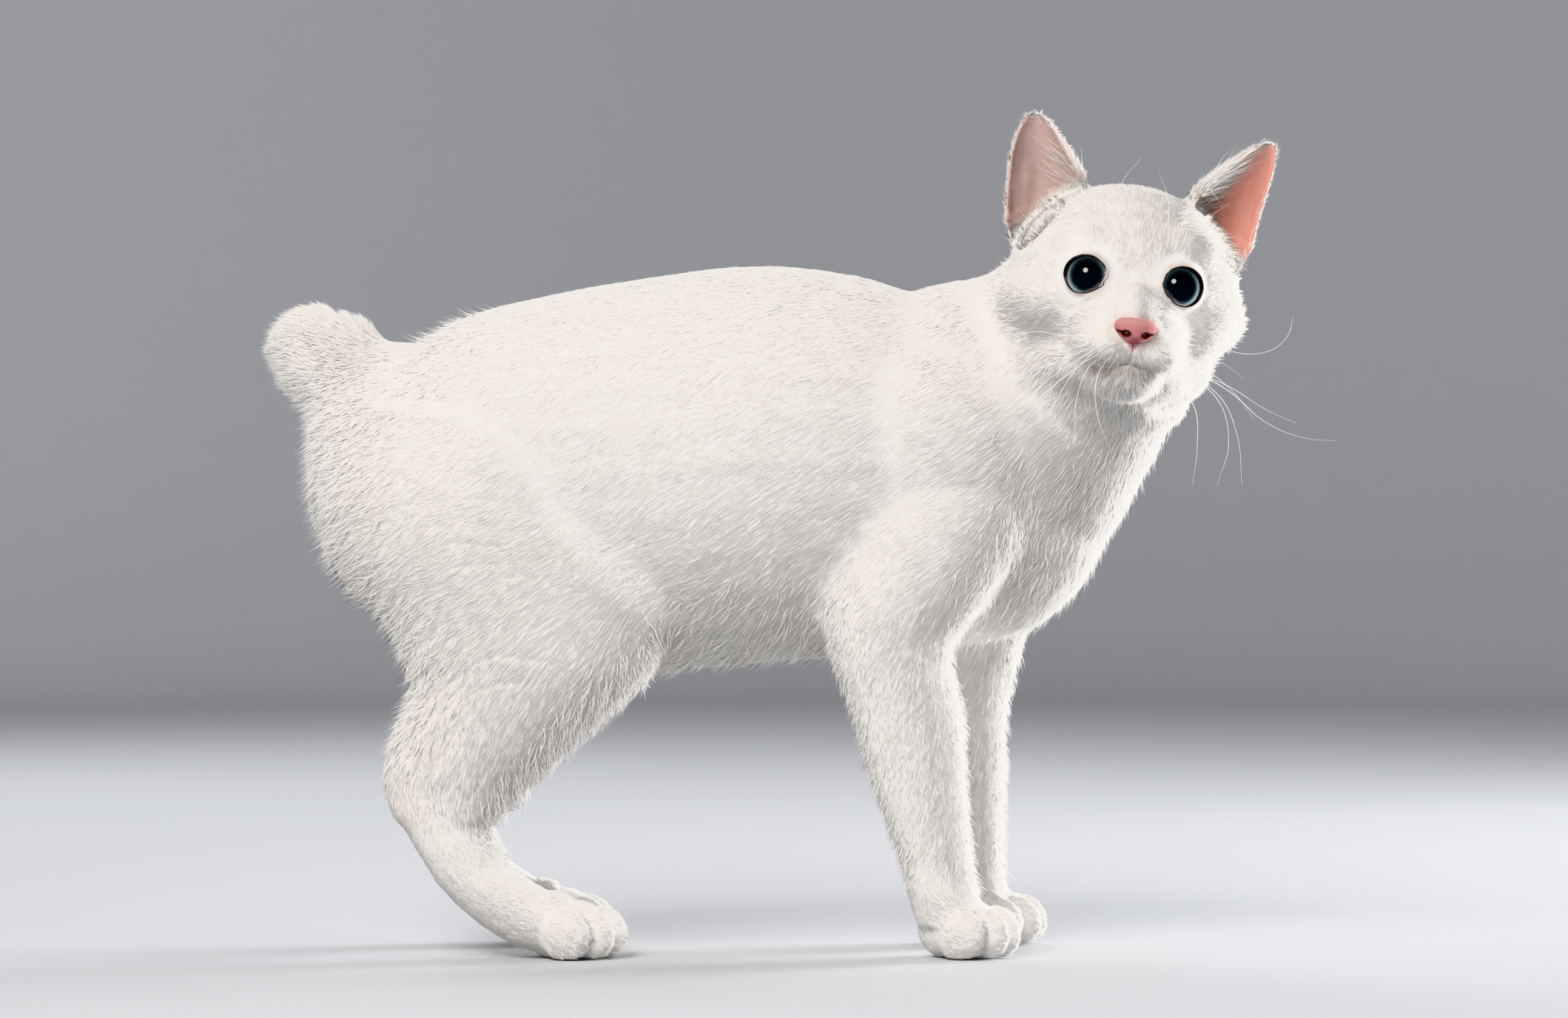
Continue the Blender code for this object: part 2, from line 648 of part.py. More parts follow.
def finish(parts, cutters):
    fur = material("fur", FUR, FUR_ROUGHNESS)
    looks = {
        "nose": material("nose_leather", SKIN, SKIN_ROUGHNESS),
        "eye": material("eyeball", EYEBALL, EYE_ROUGHNESS),
    }
    for obj in parts.objects:
        obj.data.materials.clear()
        obj.data.materials.append(looks.get(obj.name.split("_")[0], fur))
        obj.data.shade_smooth()
        obj.data.set_sharp_from_angle(angle=SHARP)
    for obj in cutters.objects:
        obj.hide_render = True
        obj.display_type = "WIRE"


def main():
    clear_scene()
    parts = collection(NAME, False)
    cutters = collection("cutters", True)
    pieces = collection("forms", True)
    trunk(pieces)
    tube("neck_form", NECK, pieces)
    tube("tail_form", TAIL, pieces)
    ball("tail_tip", TAIL_TIP, [TAIL_TIP_RADIUS] * 3, pieces)
    add_limbs(pieces)
    add_head(pieces)
    body = fuse(pieces, parts)
    head, body = part_head(body, parts, cutters)
    floor = block("floor", (-REACH, -REACH, -FLOOR_DEPTH), (REACH, REACH, 0), cutters)
    body = boolean(body, floor, "DIFFERENCE", parts)
    _, body = part_off(body, "neck", beyond("neck_side", NECK_CUT, cutters), parts, cutters)
    _, body = part_off(body, "tail", beyond("tail_side", TAIL_CUT, cutters, TAIL_BEHIND), parts, cutters)
    part_limbs(body, parts, cutters)
    add_face(head, parts, cutters)
    settle(parts)
    finish(parts, cutters)


main()
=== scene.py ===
import math
from types import SimpleNamespace

import bpy
import numpy as np
from mathutils import Matrix, Vector
from mathutils.bvhtree import BVHTree


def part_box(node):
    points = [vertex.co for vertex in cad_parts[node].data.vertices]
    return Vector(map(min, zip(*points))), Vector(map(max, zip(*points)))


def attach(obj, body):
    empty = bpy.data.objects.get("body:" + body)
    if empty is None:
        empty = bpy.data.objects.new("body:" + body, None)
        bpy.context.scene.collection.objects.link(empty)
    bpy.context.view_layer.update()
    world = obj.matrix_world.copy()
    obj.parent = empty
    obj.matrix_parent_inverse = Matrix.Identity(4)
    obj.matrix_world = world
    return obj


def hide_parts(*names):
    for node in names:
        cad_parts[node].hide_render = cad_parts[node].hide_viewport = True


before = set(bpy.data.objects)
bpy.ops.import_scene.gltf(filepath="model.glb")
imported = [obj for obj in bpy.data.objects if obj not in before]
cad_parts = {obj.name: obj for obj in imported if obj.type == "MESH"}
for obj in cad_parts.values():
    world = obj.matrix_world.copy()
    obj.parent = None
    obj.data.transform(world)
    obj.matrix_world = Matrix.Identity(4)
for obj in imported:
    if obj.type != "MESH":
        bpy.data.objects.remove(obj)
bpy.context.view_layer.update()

# The places below are measured from the point on the floor that the source calls x 0, y 0.
start = np.array((0.00465, 0.0143, 0.0))
rng = np.random.default_rng(7)

fleshNodes = ["torso", "neck", "head", "tail", "ear_left", "ear_right",
              "foreleg_left", "foreleg_right", "forepaw_left", "forepaw_right",
              "hindleg_left", "hindleg_right", "hindpaw_left", "hindpaw_right"]


def deselectAll():
    if bpy.context.object and bpy.context.object.mode != "OBJECT":
        bpy.ops.object.mode_set(mode="OBJECT")
    bpy.ops.object.select_all(action="DESELECT")


def pick(obj):
    deselectAll()
    obj.select_set(True)
    bpy.context.view_layer.objects.active = obj


def applyAll(obj):
    pick(obj)
    for modifier in list(obj.modifiers):
        bpy.ops.object.modifier_apply(modifier=modifier.name)


def newObject(name, mesh):
    obj = bpy.data.objects.new(name, mesh)
    bpy.context.scene.collection.objects.link(obj)
    return obj


def editMesh(obj, *steps):
    pick(obj)
    bpy.ops.object.mode_set(mode="EDIT")
    for operator, settings in steps:
        bpy.ops.mesh.select_all(action="SELECT")
        operator(**settings)
    bpy.ops.object.mode_set(mode="OBJECT")


def copyOfNode(node, name):
    obj = newObject(name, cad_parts[node].data.copy())
    editMesh(obj, (bpy.ops.mesh.remove_doubles, {"threshold": 0.00001}))
    return obj


def finishPiece(obj, material, slot, *nodes):
    # its finish, its body and the nodes that it stands for; slot is not used
    obj.data.shade_smooth()
    obj.data.materials.clear()
    obj.data.materials.append(material)
    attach(obj, "root")
    if nodes:
        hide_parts(*nodes)


def addModifier(obj, kind, **settings):
    modifier = obj.modifiers.new(kind.lower(), kind)
    for key, value in settings.items():
        setattr(modifier, key, value)
    return modifier


def readRows(items, key, kind=np.float32):
    flat = np.empty(len(items) * 3, kind)
    items.foreach_get(key, flat)
    return flat.reshape(-1, 3)


def pointsOf(mesh):
    return readRows(mesh.vertices, "co").astype(float)


def normalsOf(mesh):
    return readRows(mesh.vertex_normals, "vector").astype(float)


def setPoints(mesh, points):
    mesh.vertices.foreach_set("co", points.astype(np.float32).ravel())
    mesh.update()


def treeOf(mesh):
    mesh.calc_loop_triangles()
    corners = readRows(mesh.loop_triangles, "vertices", np.int32)
    return BVHTree.FromPolygons(pointsOf(mesh).tolist(), corners.tolist())


def unit(v):
    v = np.asarray(v)
    return v / np.maximum(np.linalg.norm(v, axis=-1, keepdims=True), 1e-9)


def ramp(x, a, b):
    t = np.clip((x - a) / (b - a), 0, 1)
    return t * t * (3 - 2 * t)


def fade(x, a, b):
    return 1 - ramp(x, a, b)


def sizeOf(v):
    return np.linalg.norm(v, axis=1)


def rowsOf(value, count):
    return np.tile(np.array(value), (count, 1))


def vectors(*columns):
    return np.stack(np.broadcast_arrays(*columns), 1)


def mixIn(base, aim, share):
    return base + (np.array(aim, float) - base) * np.clip(share, 0, 1)[:, None]


def facing(way):
    # the turn that brings z into this way
    return Vector(way).to_track_quat("Z", "Y").to_matrix().to_4x4()


def waves(points, size, seed):
    # smooth noise from about -1 to 1, as a sum of waves of that size
    draw = np.random.default_rng(seed)
    total = np.zeros(len(points))
    for _ in range(7):
        way = unit(draw.normal(size=3)) * draw.uniform(0.7, 1.5) * 2 * math.pi / size
        total += np.sin(points @ way + draw.uniform(0, 2 * math.pi))
    return total / 2.6


# where the head is, and its own axes: x to its left, y to its back, z up
eyeBoxes = {word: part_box(f"eye_{word}") for word in ("right", "left")}
eyeMiddles = {word: np.array((low + high) / 2) for word, (low, high) in eyeBoxes.items()}
headX = unit(eyeMiddles["left"] - eyeMiddles["right"])
headY = unit(np.cross((0, 0, 1), headX))
headZ = np.cross(headX, headY)
headTurn = np.array((headX, headY, headZ))
eyesAhead = 0.0252  # how far the eyes stand before the middle of the head
headStart = (eyeMiddles["left"] + eyeMiddles["right"]) / 2 + headY * eyesAhead


def inHead(points):
    return (points - headStart) @ headTurn.T


def outOfHead(points):
    return np.asarray(points) @ headTurn + headStart


skull = {"middle": (0.0, 0.004, -0.0015), "radii": (0.0445, 0.0400, 0.0397)}
earHeights = (0.000, 0.010, 0.022, 0.033, 0.043, 0.051, 0.0592)
earMiddles = {-1: (0.0270, 0.0298, 0.0308, 0.0320, 0.0352, 0.0380, 0.0408),
              1: (0.0270, 0.0298, 0.0310, 0.0330, 0.0378, 0.0426, 0.0478)}
earHalves = (0.0080, 0.0150, 0.0176, 0.0170, 0.0138, 0.0096, 0.0028)
eyeOut = math.radians(17)  # how far each eye's lids face outwards
sides = ((-1, "right"), (1, "left"))


def lidGaze(side):
    # where each eye's lids face, in the head's axes
    return np.array((side * math.sin(eyeOut), -math.cos(eyeOut), 0.0))


def towardsNose(side):
    # the way across each eye's lids
    return np.array((-side * math.cos(eyeOut), -math.sin(eyeOut), 0.0))


def regions(points, normals):
    # how much each point belongs to each part, from 0 to 1
    q = points - start
    h = inHead(points)
    x, z = q[:, 0], q[:, 2]
    hx, hy, hz = h.T
    n = normals @ headTurn.T
    r = SimpleNamespace(q=q, h=h, n=n)
    r.head = ramp((q - (0.112, -0.012, 0.230)) @ unit((0.51, -0.57, 0.64)), -0.006, 0.006)
    away = sizeOf((h - skull["middle"]) / skull["radii"])
    r.ear = ramp(away, 1.03, 1.12) * ramp(hz, 0.010, 0.018) * ramp(np.abs(hx), 0.008, 0.014) * r.head
    side = np.where(hx > 0, 1, -1)
    r.side = side
    left, right = (np.interp(hz, earHeights, earMiddles[s]) for s in (1, -1))
    middle = np.where(side > 0, left, right)
    r.across = (side * hx - middle) / np.interp(hz, earHeights, earHalves)
    turn = 0.5 - 0.9 * np.clip(np.abs(r.across), 0, 1)
    ahead = unit(vectors(side * turn, -0.866, 0.0))
    r.earFront = ramp((n * ahead).sum(1), -0.10, 0.25)
    # height over the lower edge of the ear's cup
    r.overCup = hz - 0.0210 + 0.0085 * np.clip(r.across, -1, 1)
    r.cup = r.ear * r.earFront * ramp(r.overCup, -0.0012, 0.0012)
    r.muzzle = ramp(-hy, 0.026, 0.044) * ramp(-hz, 0.004, 0.014) * r.head
    r.chin = ramp(-hz, 0.026, 0.036) * ramp(-n[:, 2] - 0.3 * n[:, 1], -0.2, 0.5) * r.head
    narrow = 0.0030 * ramp(hz, -0.0275, -0.0225) + 0.0002
    r.cleft = ramp(narrow - np.abs(hx), -0.0003, 0.0003) * r.muzzle
    r.cleft = r.cleft * ramp(hz, -0.0280, -0.0265) * fade(hz, -0.0218, -0.0200)
    # distance from each eye, seen along its gaze
    r.eye = np.full(len(h), 1.0)
    r.eyeWay = np.zeros((len(h), 3))
    for way, word in sides:
        gaze = lidGaze(way)
        off = h - inHead(eyeMiddles[word])
        flat = off - (off @ gaze)[:, None] * gaze
        far = sizeOf(flat) + 10.0 * ((off @ gaze) < 0)
        nearer = far < r.eye
        r.eye = np.where(nearer, far, r.eye)
        r.eyeWay = np.where(nearer[:, None], flat, r.eyeWay)
    r.eyeWay = unit(r.eyeWay)
    r.leg = fade(z, 0.095, 0.155)
    r.paw = fade(z, 0.018, 0.036)
    r.hind = fade(x, -0.04, 0.0)
    r.foreleg, r.hindleg = r.leg * (1 - r.hind), r.leg * r.hind
    r.tail = fade((q - (-0.1600, 0.0, 0.2150)) @ unit((0.58, 0.0, -0.815)), -0.012, 0.008)
    r.tail *= fade(x, -0.156, -0.140)
    r.neck = ramp((q - (0.0875, 0.0, 0.2045)) @ unit((0.778, 0.0, 0.628)), -0.03, 0.02) * (1 - r.head)
    r.belly = ramp(-normals[:, 2], 0.3, 0.8) * (1 - r.head) * ramp(z, 0.095, 0.105)
    r.chest = ramp(normals[:, 0], 0.1, 0.7) * ramp(x, 0.06, 0.09) * (1 - r.head) * ramp(z, 0.10, 0.13)
    r.thigh = fade(x, -0.115, -0.065) * ramp(z, 0.05, 0.075) * fade(z, 0.145, 0.20)
    r.rump = fade(x, -0.165, -0.135) * ramp(z, 0.06, 0.09)
    return r


eye = {
    "radius": 0.0107, "pupil": 0.0052, "iris": 0.0073, "bulge": 0.0001,
    "aside": 0.0012,  # the eyeball stands this much outside the middle of its socket
    "outward": {"right": 4.0, "left": 9.0}, "up": 0.5,  # how far each looks past the camera, in degrees
    "black": (0.002, 0.003, 0.005), "irisInner": (0.030, 0.042, 0.052), "irisOuter": (0.185, 0.225, 0.245),
    "edge": (0.010, 0.010, 0.012),
    "rimThick": 0.00024, "corner": 0.0006,
}

# the skin: the flesh nodes as one surface, drawn in by the depth of the coat
skinSettings = {
    "grow": 0.00028,  # closes the gaps between the nodes
    "voxel": 0.00070,
    "seamReach": 0.0024, "seamRounds": 34, "rounds": 3, "calmRounds": 90,
    "triangles": 190000, "floorGap": 0.0002,
    "depthBody": 0.0018, "depthHead": 0.0010, "depthMuzzle": 0.0005, "depthLeg": 0.0013, "depthPaw": 0.0006,
    "depthEar": 0.00035, "depthLid": 0.0009, "depthLidUp": 0.0005, "depthNose": 0.0001,
    "fold": 0.0009, "lidIn": 0.0016, "lidInUp": 0.0005, "lidAside": 0.0008, "lidOver": 0.00015,
    "cheekIn": 0.0010,
    "calmFace": (((-0.040, 0.000, -0.012), 0.022, 0.8), ((0.030, -0.030, -0.018), 0.014, 0.5)),
}
# places on both sides that are evened out most: middle, reach
calmPlaces = (((-0.062, 0.042, 0.150), 0.058), ((0.088, 0.036, 0.165), 0.040),
              ((-0.142, 0.034, 0.052), 0.026), ((-0.100, 0.034, 0.175), 0.050),
              ((-0.090, 0.034, 0.010), 0.014))


def buildSkin(s):
    pieces, trees = [], []
    for node in fleshNodes:
        piece = copyOfNode(node, "flesh_" + node)
        points = pointsOf(piece.data)
        trees.append((points.min(0), points.max(0), treeOf(piece.data)))
        addModifier(piece, "DISPLACE", strength=s["grow"], mid_level=0)
        applyAll(piece)
        pieces.append(piece)
    deselectAll()
    for piece in pieces:
        piece.select_set(True)
    bpy.context.view_layer.objects.active = pieces[0]
    bpy.ops.object.join()
    skin = bpy.context.object
    addModifier(skin, "REMESH", mode="VOXEL", voxel_size=s["voxel"])
    applyAll(skin)
    editMesh(skin, (bpy.ops.mesh.separate, {"type": "LOOSE"}))
    shells = sorted(bpy.context.selected_objects, key=lambda obj: len(obj.data.polygons))
    skin = shells.pop()
    for shell in shells:
        bpy.data.objects.remove(shell)
    skin.name = "skin"
    # where two nodes meet, the surface is evened out
    points = pointsOf(skin.data)
    boxes = np.zeros(len(points), int)
    insides = []
    for low, high, _ in trees:
        inside = ((points > low - s["seamReach"]) & (points < high + s["seamReach"])).all(1)
        insides.append(inside)
        boxes += inside
    near = np.zeros(len(points), int)
    for inside, (_, _, tree) in zip(insides, trees):
        for i in np.flatnonzero(inside & (boxes > 1)):
            if tree.find_nearest(points[i], s["seamReach"])[0] is not None:
                near[i] += 1
    group = skin.vertex_groups.new(name="seam")
    group.add(np.flatnonzero(near > 1).tolist(), 1.0, "REPLACE")
    r = regions(points, normalsOf(skin.data))
    calm = 0.6 * (1 - r.head) * ramp(r.q[:, 2], 0.10, 0.14) * (1 - 0.6 * r.tail)
    for place, reach in calmPlaces:
        for side in (-1, 1):
            away = sizeOf(r.q - (place[0], side * place[1], place[2]))
            calm = np.maximum(calm, 1 - ramp(away, 0.5 * reach, reach))
    earFoot = fade(np.abs(r.overCup), 0.003, 0.007) * r.earFront * ramp(np.abs(r.h[:, 0]), 0.008, 0.014)
    calm = np.maximum(calm, np.maximum(earFoot * ramp(r.ear, 0.0, 0.2), 4 * r.ear * (1 - r.ear)))
    group = skin.vertex_groups.new(name="calm")
    for place, reach, share in s["calmFace"]:
        calm = np.maximum(calm, share * fade(sizeOf(r.h - place), 0.4 * reach, reach))
    nape = 4 * r.head * (1 - r.head) * ramp(r.q[:, 1], -0.025, 0.0)
    calm = np.clip(np.maximum(calm, nape), 0, 1)
    level = np.round(calm * 10).astype(int)
    for step in range(1, 11):
        group.add(np.flatnonzero(level == step).tolist(), step / 10, "REPLACE")
    addModifier(skin, "SMOOTH", iterations=s["seamRounds"], vertex_group="seam")
    addModifier(skin, "SMOOTH", iterations=s["calmRounds"], vertex_group="calm")
    addModifier(skin, "SMOOTH", iterations=s["rounds"])
    applyAll(skin)
    skin.vertex_groups.clear()
    return skin


def thighLines(q):
    # shallow curved partings over the thigh, each along the lie of the hair
    line = q @ unit((-0.30, 0.0, 1.0)) + 0.0035 * waves(q, 0.045, 3)
    line += 0.3 * (q[:, 0] + 0.10) ** 2 / 0.1
    broken = ramp(waves(q * (0.5, 1, 1.4), 0.022, 4), -0.2, 0.7)
    return ramp(np.sin(2 * math.pi * line / 0.0078), 0.55, 1.0) * broken


def narrowLids(points, s):
    # the edge of the lids is drawn in over the eyeball, without touching it
    h = inHead(points)
    for side, word in sides:
        gaze = lidGaze(side)
        middle = inHead(eyeMiddles[word])
        off = h - middle
        along = (off @ gaze)[:, None]
        flat = off - along * gaze
        far = np.linalg.norm(flat, axis=1, keepdims=True)
        near = fade(far, 0.0085, 0.0135) * (along > 0.003)
        draw = near * (s["lidIn"] + s["lidInUp"] * (flat[:, 2:] / np.maximum(far, 1e-6)) ** 2)
        off = off - flat / np.maximum(far, 1e-6) * draw - np.array((1.0, 0.0, 0.0)) * near * s["lidAside"]
        ball = towardsNose(side) * -eye["aside"]
        off = off - ball
        reach = np.linalg.norm(off, axis=1, keepdims=True)
        least = eye["radius"] + s["lidOver"]
        off = np.where((near > 0) & (reach < least), off / np.maximum(reach, 1e-6) * least, off)
        h = middle + ball + off
    return outOfHead(h)


def shapeSkin(skin, s):
    points, normals = pointsOf(skin.data), normalsOf(skin.data)
    r = regions(points, normals)
    q, h = r.q, r.h
    depth = np.full(len(points), s["depthBody"])
    for name in ("leg", "paw", "head", "muzzle", "ear"):
        depth += (s["depth" + name.capitalize()] - depth) * getattr(r, name)
    upright = r.eyeWay[:, 2] ** 2
    lid = s["depthLid"] + (s["depthLidUp"] - s["depthLid"]) * upright
    depth += (lid - depth) * fade(r.eye, 0.0095, 0.013)
    cheek = sizeOf((h - (0.043, -0.008, -0.020)) / (0.020, 0.024, 0.018))
    depth += s["cheekIn"] * fade(cheek, 0.3, 1.0)
    nose = sizeOf(h - (0, -0.050, -0.019))
    depth += (s["depthNose"] - depth) * fade(nose, 0.008, 0.012)
    points = points - normals * (depth + s["grow"])[:, None]
    points -= normals * (0.00022 * thighLines(q) * r.thigh)[:, None]
    points = narrowLids(points, s)
    # folds inside the cup of each ear: one up its outer side, and a short one across its foot
    up = h[:, 2] - 0.012
    ridge = np.exp(-((r.across - 0.62 + 8.0 * up) / 0.13) ** 2)
    ridge *= ramp(h[:, 2], 0.008, 0.016) * fade(h[:, 2], 0.036, 0.046)
    foot = np.exp(-((r.overCup - 0.0065) / 0.0014) ** 2) * ramp(r.across, 0.15, 0.45)
    points += normals * (s["fold"] * (ridge + 0.6 * foot) * r.cup)[:, None]
    points[:, 2] = np.maximum(points[:, 2], s["floorGap"])
    setPoints(skin.data, points)
    addModifier(skin, "DECIMATE", ratio=min(1, s["triangles"] / (2 * len(skin.data.polygons))))
    addModifier(skin, "TRIANGULATE")
    applyAll(skin)


skin = buildSkin(skinSettings)
print("skin fused", len(skin.data.polygons))
shapeSkin(skin, skinSettings)
print("skin shaped", len(skin.data.polygons))
skinPoints, skinNormals = pointsOf(skin.data), normalsOf(skin.data)

# how hollow the skin is at each point: where it lies below its own evened-out shape
even = newObject("even", skin.data.copy())
addModifier(even, "SMOOTH", iterations=12)
applyAll(even)
skinHollow = ((pointsOf(even.data) - skinPoints) * skinNormals).sum(1)
bpy.data.objects.remove(even)


# colours of skin and coat, the same for both
colours = {
    "fur": (0.88, 0.855, 0.82),
    "furHead": (0.90, 0.875, 0.84),
    "cream": (0.62, 0.44, 0.26),
    "toeCleft": (0.30, 0.17, 0.10),
    "skinPink": (0.62, 0.30, 0.28),
    "earDuskShade": (0.53, 0.38, 0.35),
    # the dusky skin inside the ears, darkened by painted shade in the middle of the cup
    "earEdge": (0.70, 0.49, 0.45),
    "earBrown": (0.37, 0.235, 0.205),
    # coral: the ear's own colour at its foot, and a painted glow where light shines through the ear from
    # behind
    "earCoralAndGlow": (0.84, 0.37, 0.29),
    # dark red of painted shade in the folds and the canal of the ear
    "canalShade": (0.20, 0.055, 0.05),
    "mouthShade": (0.42, 0.33, 0.28),
    "lidShade": (0.42, 0.34, 0.31),
    "cleft": (0.42, 0.15, 0.15),
}
mouthLine = ((-0.0115, -0.0321), (-0.0078, -0.0325), (-0.0038, -0.0320), (0.0, -0.0310),
             (0.0032, -0.0318), (0.0064, -0.0323))


def farFromLine(h, line):
    # distance from a line on the face, seen from in front
    best = np.full(len(h), 1.0)
    for one, two in zip(line, line[1:]):
        one, two = np.array(one), np.array(two)
        off = h[:, (0, 2)] - one
        t = np.clip(off @ (two - one) / ((two - one) @ (two - one)), 0, 1)
        best = np.minimum(best, sizeOf(off - t[:, None] * (two - one)))
    return best


def tintAt(points, normals, hollow):
    r = regions(points, normals)
    q, h = r.q, r.h
    tint = rowsOf(colours["fur"], len(points))
    tint = mixIn(tint, colours["furHead"], r.head)
    for side in (-1, 1):
        away = sizeOf((q - (-0.143, side * 0.034, 0.056)) / (0.016, 0.020, 0.018))
        tint = mixIn(tint, colours["cream"], 0.13 * ramp(1 - away, 0, 0.8))
    tint = mixIn(tint, colours["toeCleft"], 0.75 * ramp(hollow, 0.00012, 0.00045) * r.paw)
    nose = sizeOf((h - (0, -0.050, -0.0195)) / (0.0088, 0.010, 0.0064))
    tint = mixIn(tint, colours["lidShade"], 0.60 * fade(r.eye, 0.0078, 0.0100))
    # the bare cleft runs from the nose down to the lips, as a narrow V
    tint = mixIn(tint, colours["cleft"], 0.65 * r.cleft)
    tint = mixIn(tint, colours["skinPink"], 0.22 * ramp(1.2 - nose, 0, 0.2) * r.muzzle)
    mouth = farFromLine(h, mouthLine)
    below = ramp(-h[:, 2], 0.031, 0.034)
    near = ramp(-mouth, -0.0030 - 0.0015 * below, -0.0002) * r.muzzle
    tint = mixIn(tint, colours["mouthShade"], (0.50 + 0.15 * below) * near)
    # the ear's dusky skin, with painted shade darkening the middle of the cup, lighter towards its edges and
    # tip
    shadedCup = np.where((r.side > 0)[:, None], colours["earBrown"], colours["earDuskShade"])
    lighter = ramp(np.abs(r.across + 0.08 * waves(points, 0.012, 21)), 0.35, 0.95)
    lighter = np.maximum(0.8 * lighter * (r.across > -0.2), ramp(h[:, 2], 0.036, 0.056))
    shadedCup = mixIn(shadedCup, colours["earEdge"], lighter)
    # painted light: a coral glow over the outer half of the cat's left ear, where light shines through it
    # from behind; at the foot of both ears the coral is their own colour
    lit = ramp(r.across + 6 * (h[:, 2] - 0.03), -0.10, 0.25) * (r.side > 0)
    coral = mixIn(shadedCup, colours["earCoralAndGlow"], lit * 0.9)
    foot = fade(r.overCup, 0.003, 0.014) * ramp(r.across, -0.2, 0.4)
    coral = mixIn(coral, colours["earCoralAndGlow"], 0.30 * foot)
    # painted shade: dark red in the folds of the cup and in the ear canal at its foot
    foldShade = ramp(hollow, 0.0001, 0.0006) * ramp(r.overCup, 0.001, 0.003)
    coral = mixIn(coral, colours["canalShade"], 0.45 * foldShade)
    canalShade = np.hypot((r.across - 0.14) / 0.15, (r.overCup - 0.0035) / 0.0036)
    coral = mixIn(coral, colours["canalShade"], 0.85 * ramp(1.2 - canalShade, 0, 0.5))
    innerEdge = r.ear * r.earFront * (r.side > 0) * ramp(-r.across, 0.7, 0.9) * ramp(r.overCup, 0.0, 0.004)
    tint = mixIn(tint, colours["earBrown"], 0.45 * innerEdge)
    tint = tint + (coral - tint) * (r.cup * (0.97 - 0.8 * ramp(np.abs(r.across), 0.99, 1.07)))[:, None]
    # painted shade: darker in the hollows of the paws, the muzzle and the ear cups
    shadedInHollows = np.clip(r.paw + r.muzzle + r.cup, 0, 1)
    return tint * (1 - 0.22 * ramp(hollow, 0.00005, 0.0006) * shadedInHollows)[:, None]


def saveTint(mesh, tint):
    rgba = np.ones((len(tint), 4), np.float32)
    rgba[:, :3] = tint
    mesh.color_attributes.new("tint", "FLOAT_COLOR", "POINT").data.foreach_set("color", rgba.ravel())


def newGroup(name, inputs, outputs):
    group = bpy.data.node_groups.new(name, "ShaderNodeTree")
    for label, value in inputs.items():
        group.interface.new_socket(label, in_out="INPUT", socket_type="NodeSocketFloat").default_value = value
    for label in outputs:
        group.interface.new_socket(label, in_out="OUTPUT", socket_type="NodeSocketFloat")
    return group, group.nodes.new("NodeGroupInput"), group.nodes.new("NodeGroupOutput")


def setInputs(tree, node, inputs):
    # a socket is linked, any other value is set
    for key, value in inputs.items():
        if isinstance(value, bpy.types.NodeSocket):
            tree.links.new(value, node.inputs[key])
        else:
            node.inputs[key].default_value = value


def addNode(tree, kind, inputs=None, **settings):
    node = tree.nodes.new("ShaderNode" + kind)
    for key, value in settings.items():
        setattr(node, key, value)
    setInputs(tree, node, inputs or {})
    return node


def addRamp(tree, stops, share):
    # a colour ramp through these places and colours
    node = addNode(tree, "ValToRGB", {"Fac": share})
    elements = node.color_ramp.elements
    for element, (at, colour) in zip(elements, (stops[0], stops[-1])):
        element.position = at
        element.color = (*colour, 1)
    for at, colour in stops[1:-1]:
        elements.new(at).color = (*colour, 1)
    return node


def hairGrainGroup():
    # fine streaks along the lie of the hair, level over the body and upright down the legs, and soft patches
    group, inside, outside = newGroup("hairGrain", {"Across": 1400.0, "Along": 120.0}, ("Streaks", "Patches"))
    coords = addNode(group, "TexCoord")
    streaks = []
    for order in (("Along", "Across", "Across"), ("Across", "Across", "Along")):
        scale = addNode(group, "CombineXYZ",
                        {axis: inside.outputs[word] for axis, word in enumerate(order)})
        stretch = addNode(group, "VectorMath",
                          {0: coords.outputs["Object"], 1: scale.outputs[0]}, operation="MULTIPLY")
        streaks.append(addNode(group, "TexNoise",
                               {"Vector": stretch.outputs[0], "Scale": 1.0, "Detail": 2.0}))
    level, upright = (node.outputs["Fac"] for node in streaks)
    height = addNode(group, "SeparateXYZ", {0: coords.outputs["Object"]})
    share = addNode(group, "MapRange",
                    {"Value": height.outputs["Z"], "From Min": 0.10, "From Max": 0.17})
    blend = addNode(group, "Mix", {"Factor": share.outputs[0], "A": upright, "B": level},
                    data_type="FLOAT")
    patches = addNode(group, "TexNoise", {"Vector": coords.outputs["Object"], "Scale": 38.0})
    setInputs(group, outside, {"Streaks": blend.outputs["Result"], "Patches": patches.outputs["Fac"]})
    return group


hairGrain = hairGrainGroup()


def newMaterial(name):
    material = bpy.data.materials.new(name)
    material.use_nodes = True
    return material, material.node_tree, material.node_tree.nodes["Principled BSDF"]


def furMaterial(name, s):
    material, tree, shader = newMaterial(name)
    tint = addNode(tree, "Attribute", attribute_name="tint")
    grain = addNode(tree, "Group", {"Across": s["across"], "Along": s["along"]}, node_tree=hairGrain)
    both = addNode(tree, "Math", {0: grain.outputs["Patches"], 1: s["patch"], 2: 1 - s["patch"] / 2},
                   operation="MULTIPLY_ADD")
    shade = addNode(tree, "VectorMath", {0: tint.outputs["Color"], "Scale": both.outputs[0]},
                    operation="SCALE")
    bump = addNode(tree, "Bump",
                   {"Height": grain.outputs["Streaks"], "Strength": s["bump"], "Distance": s["bumpHigh"]})
    setInputs(tree, shader, {"Base Color": shade.outputs[0], "Normal": bump.outputs["Normal"],
                             "Roughness": s["roughness"], "Specular IOR Level": s["specular"],
                             "Sheen Weight": s["sheen"], "Sheen Roughness": 0.45})
    return material


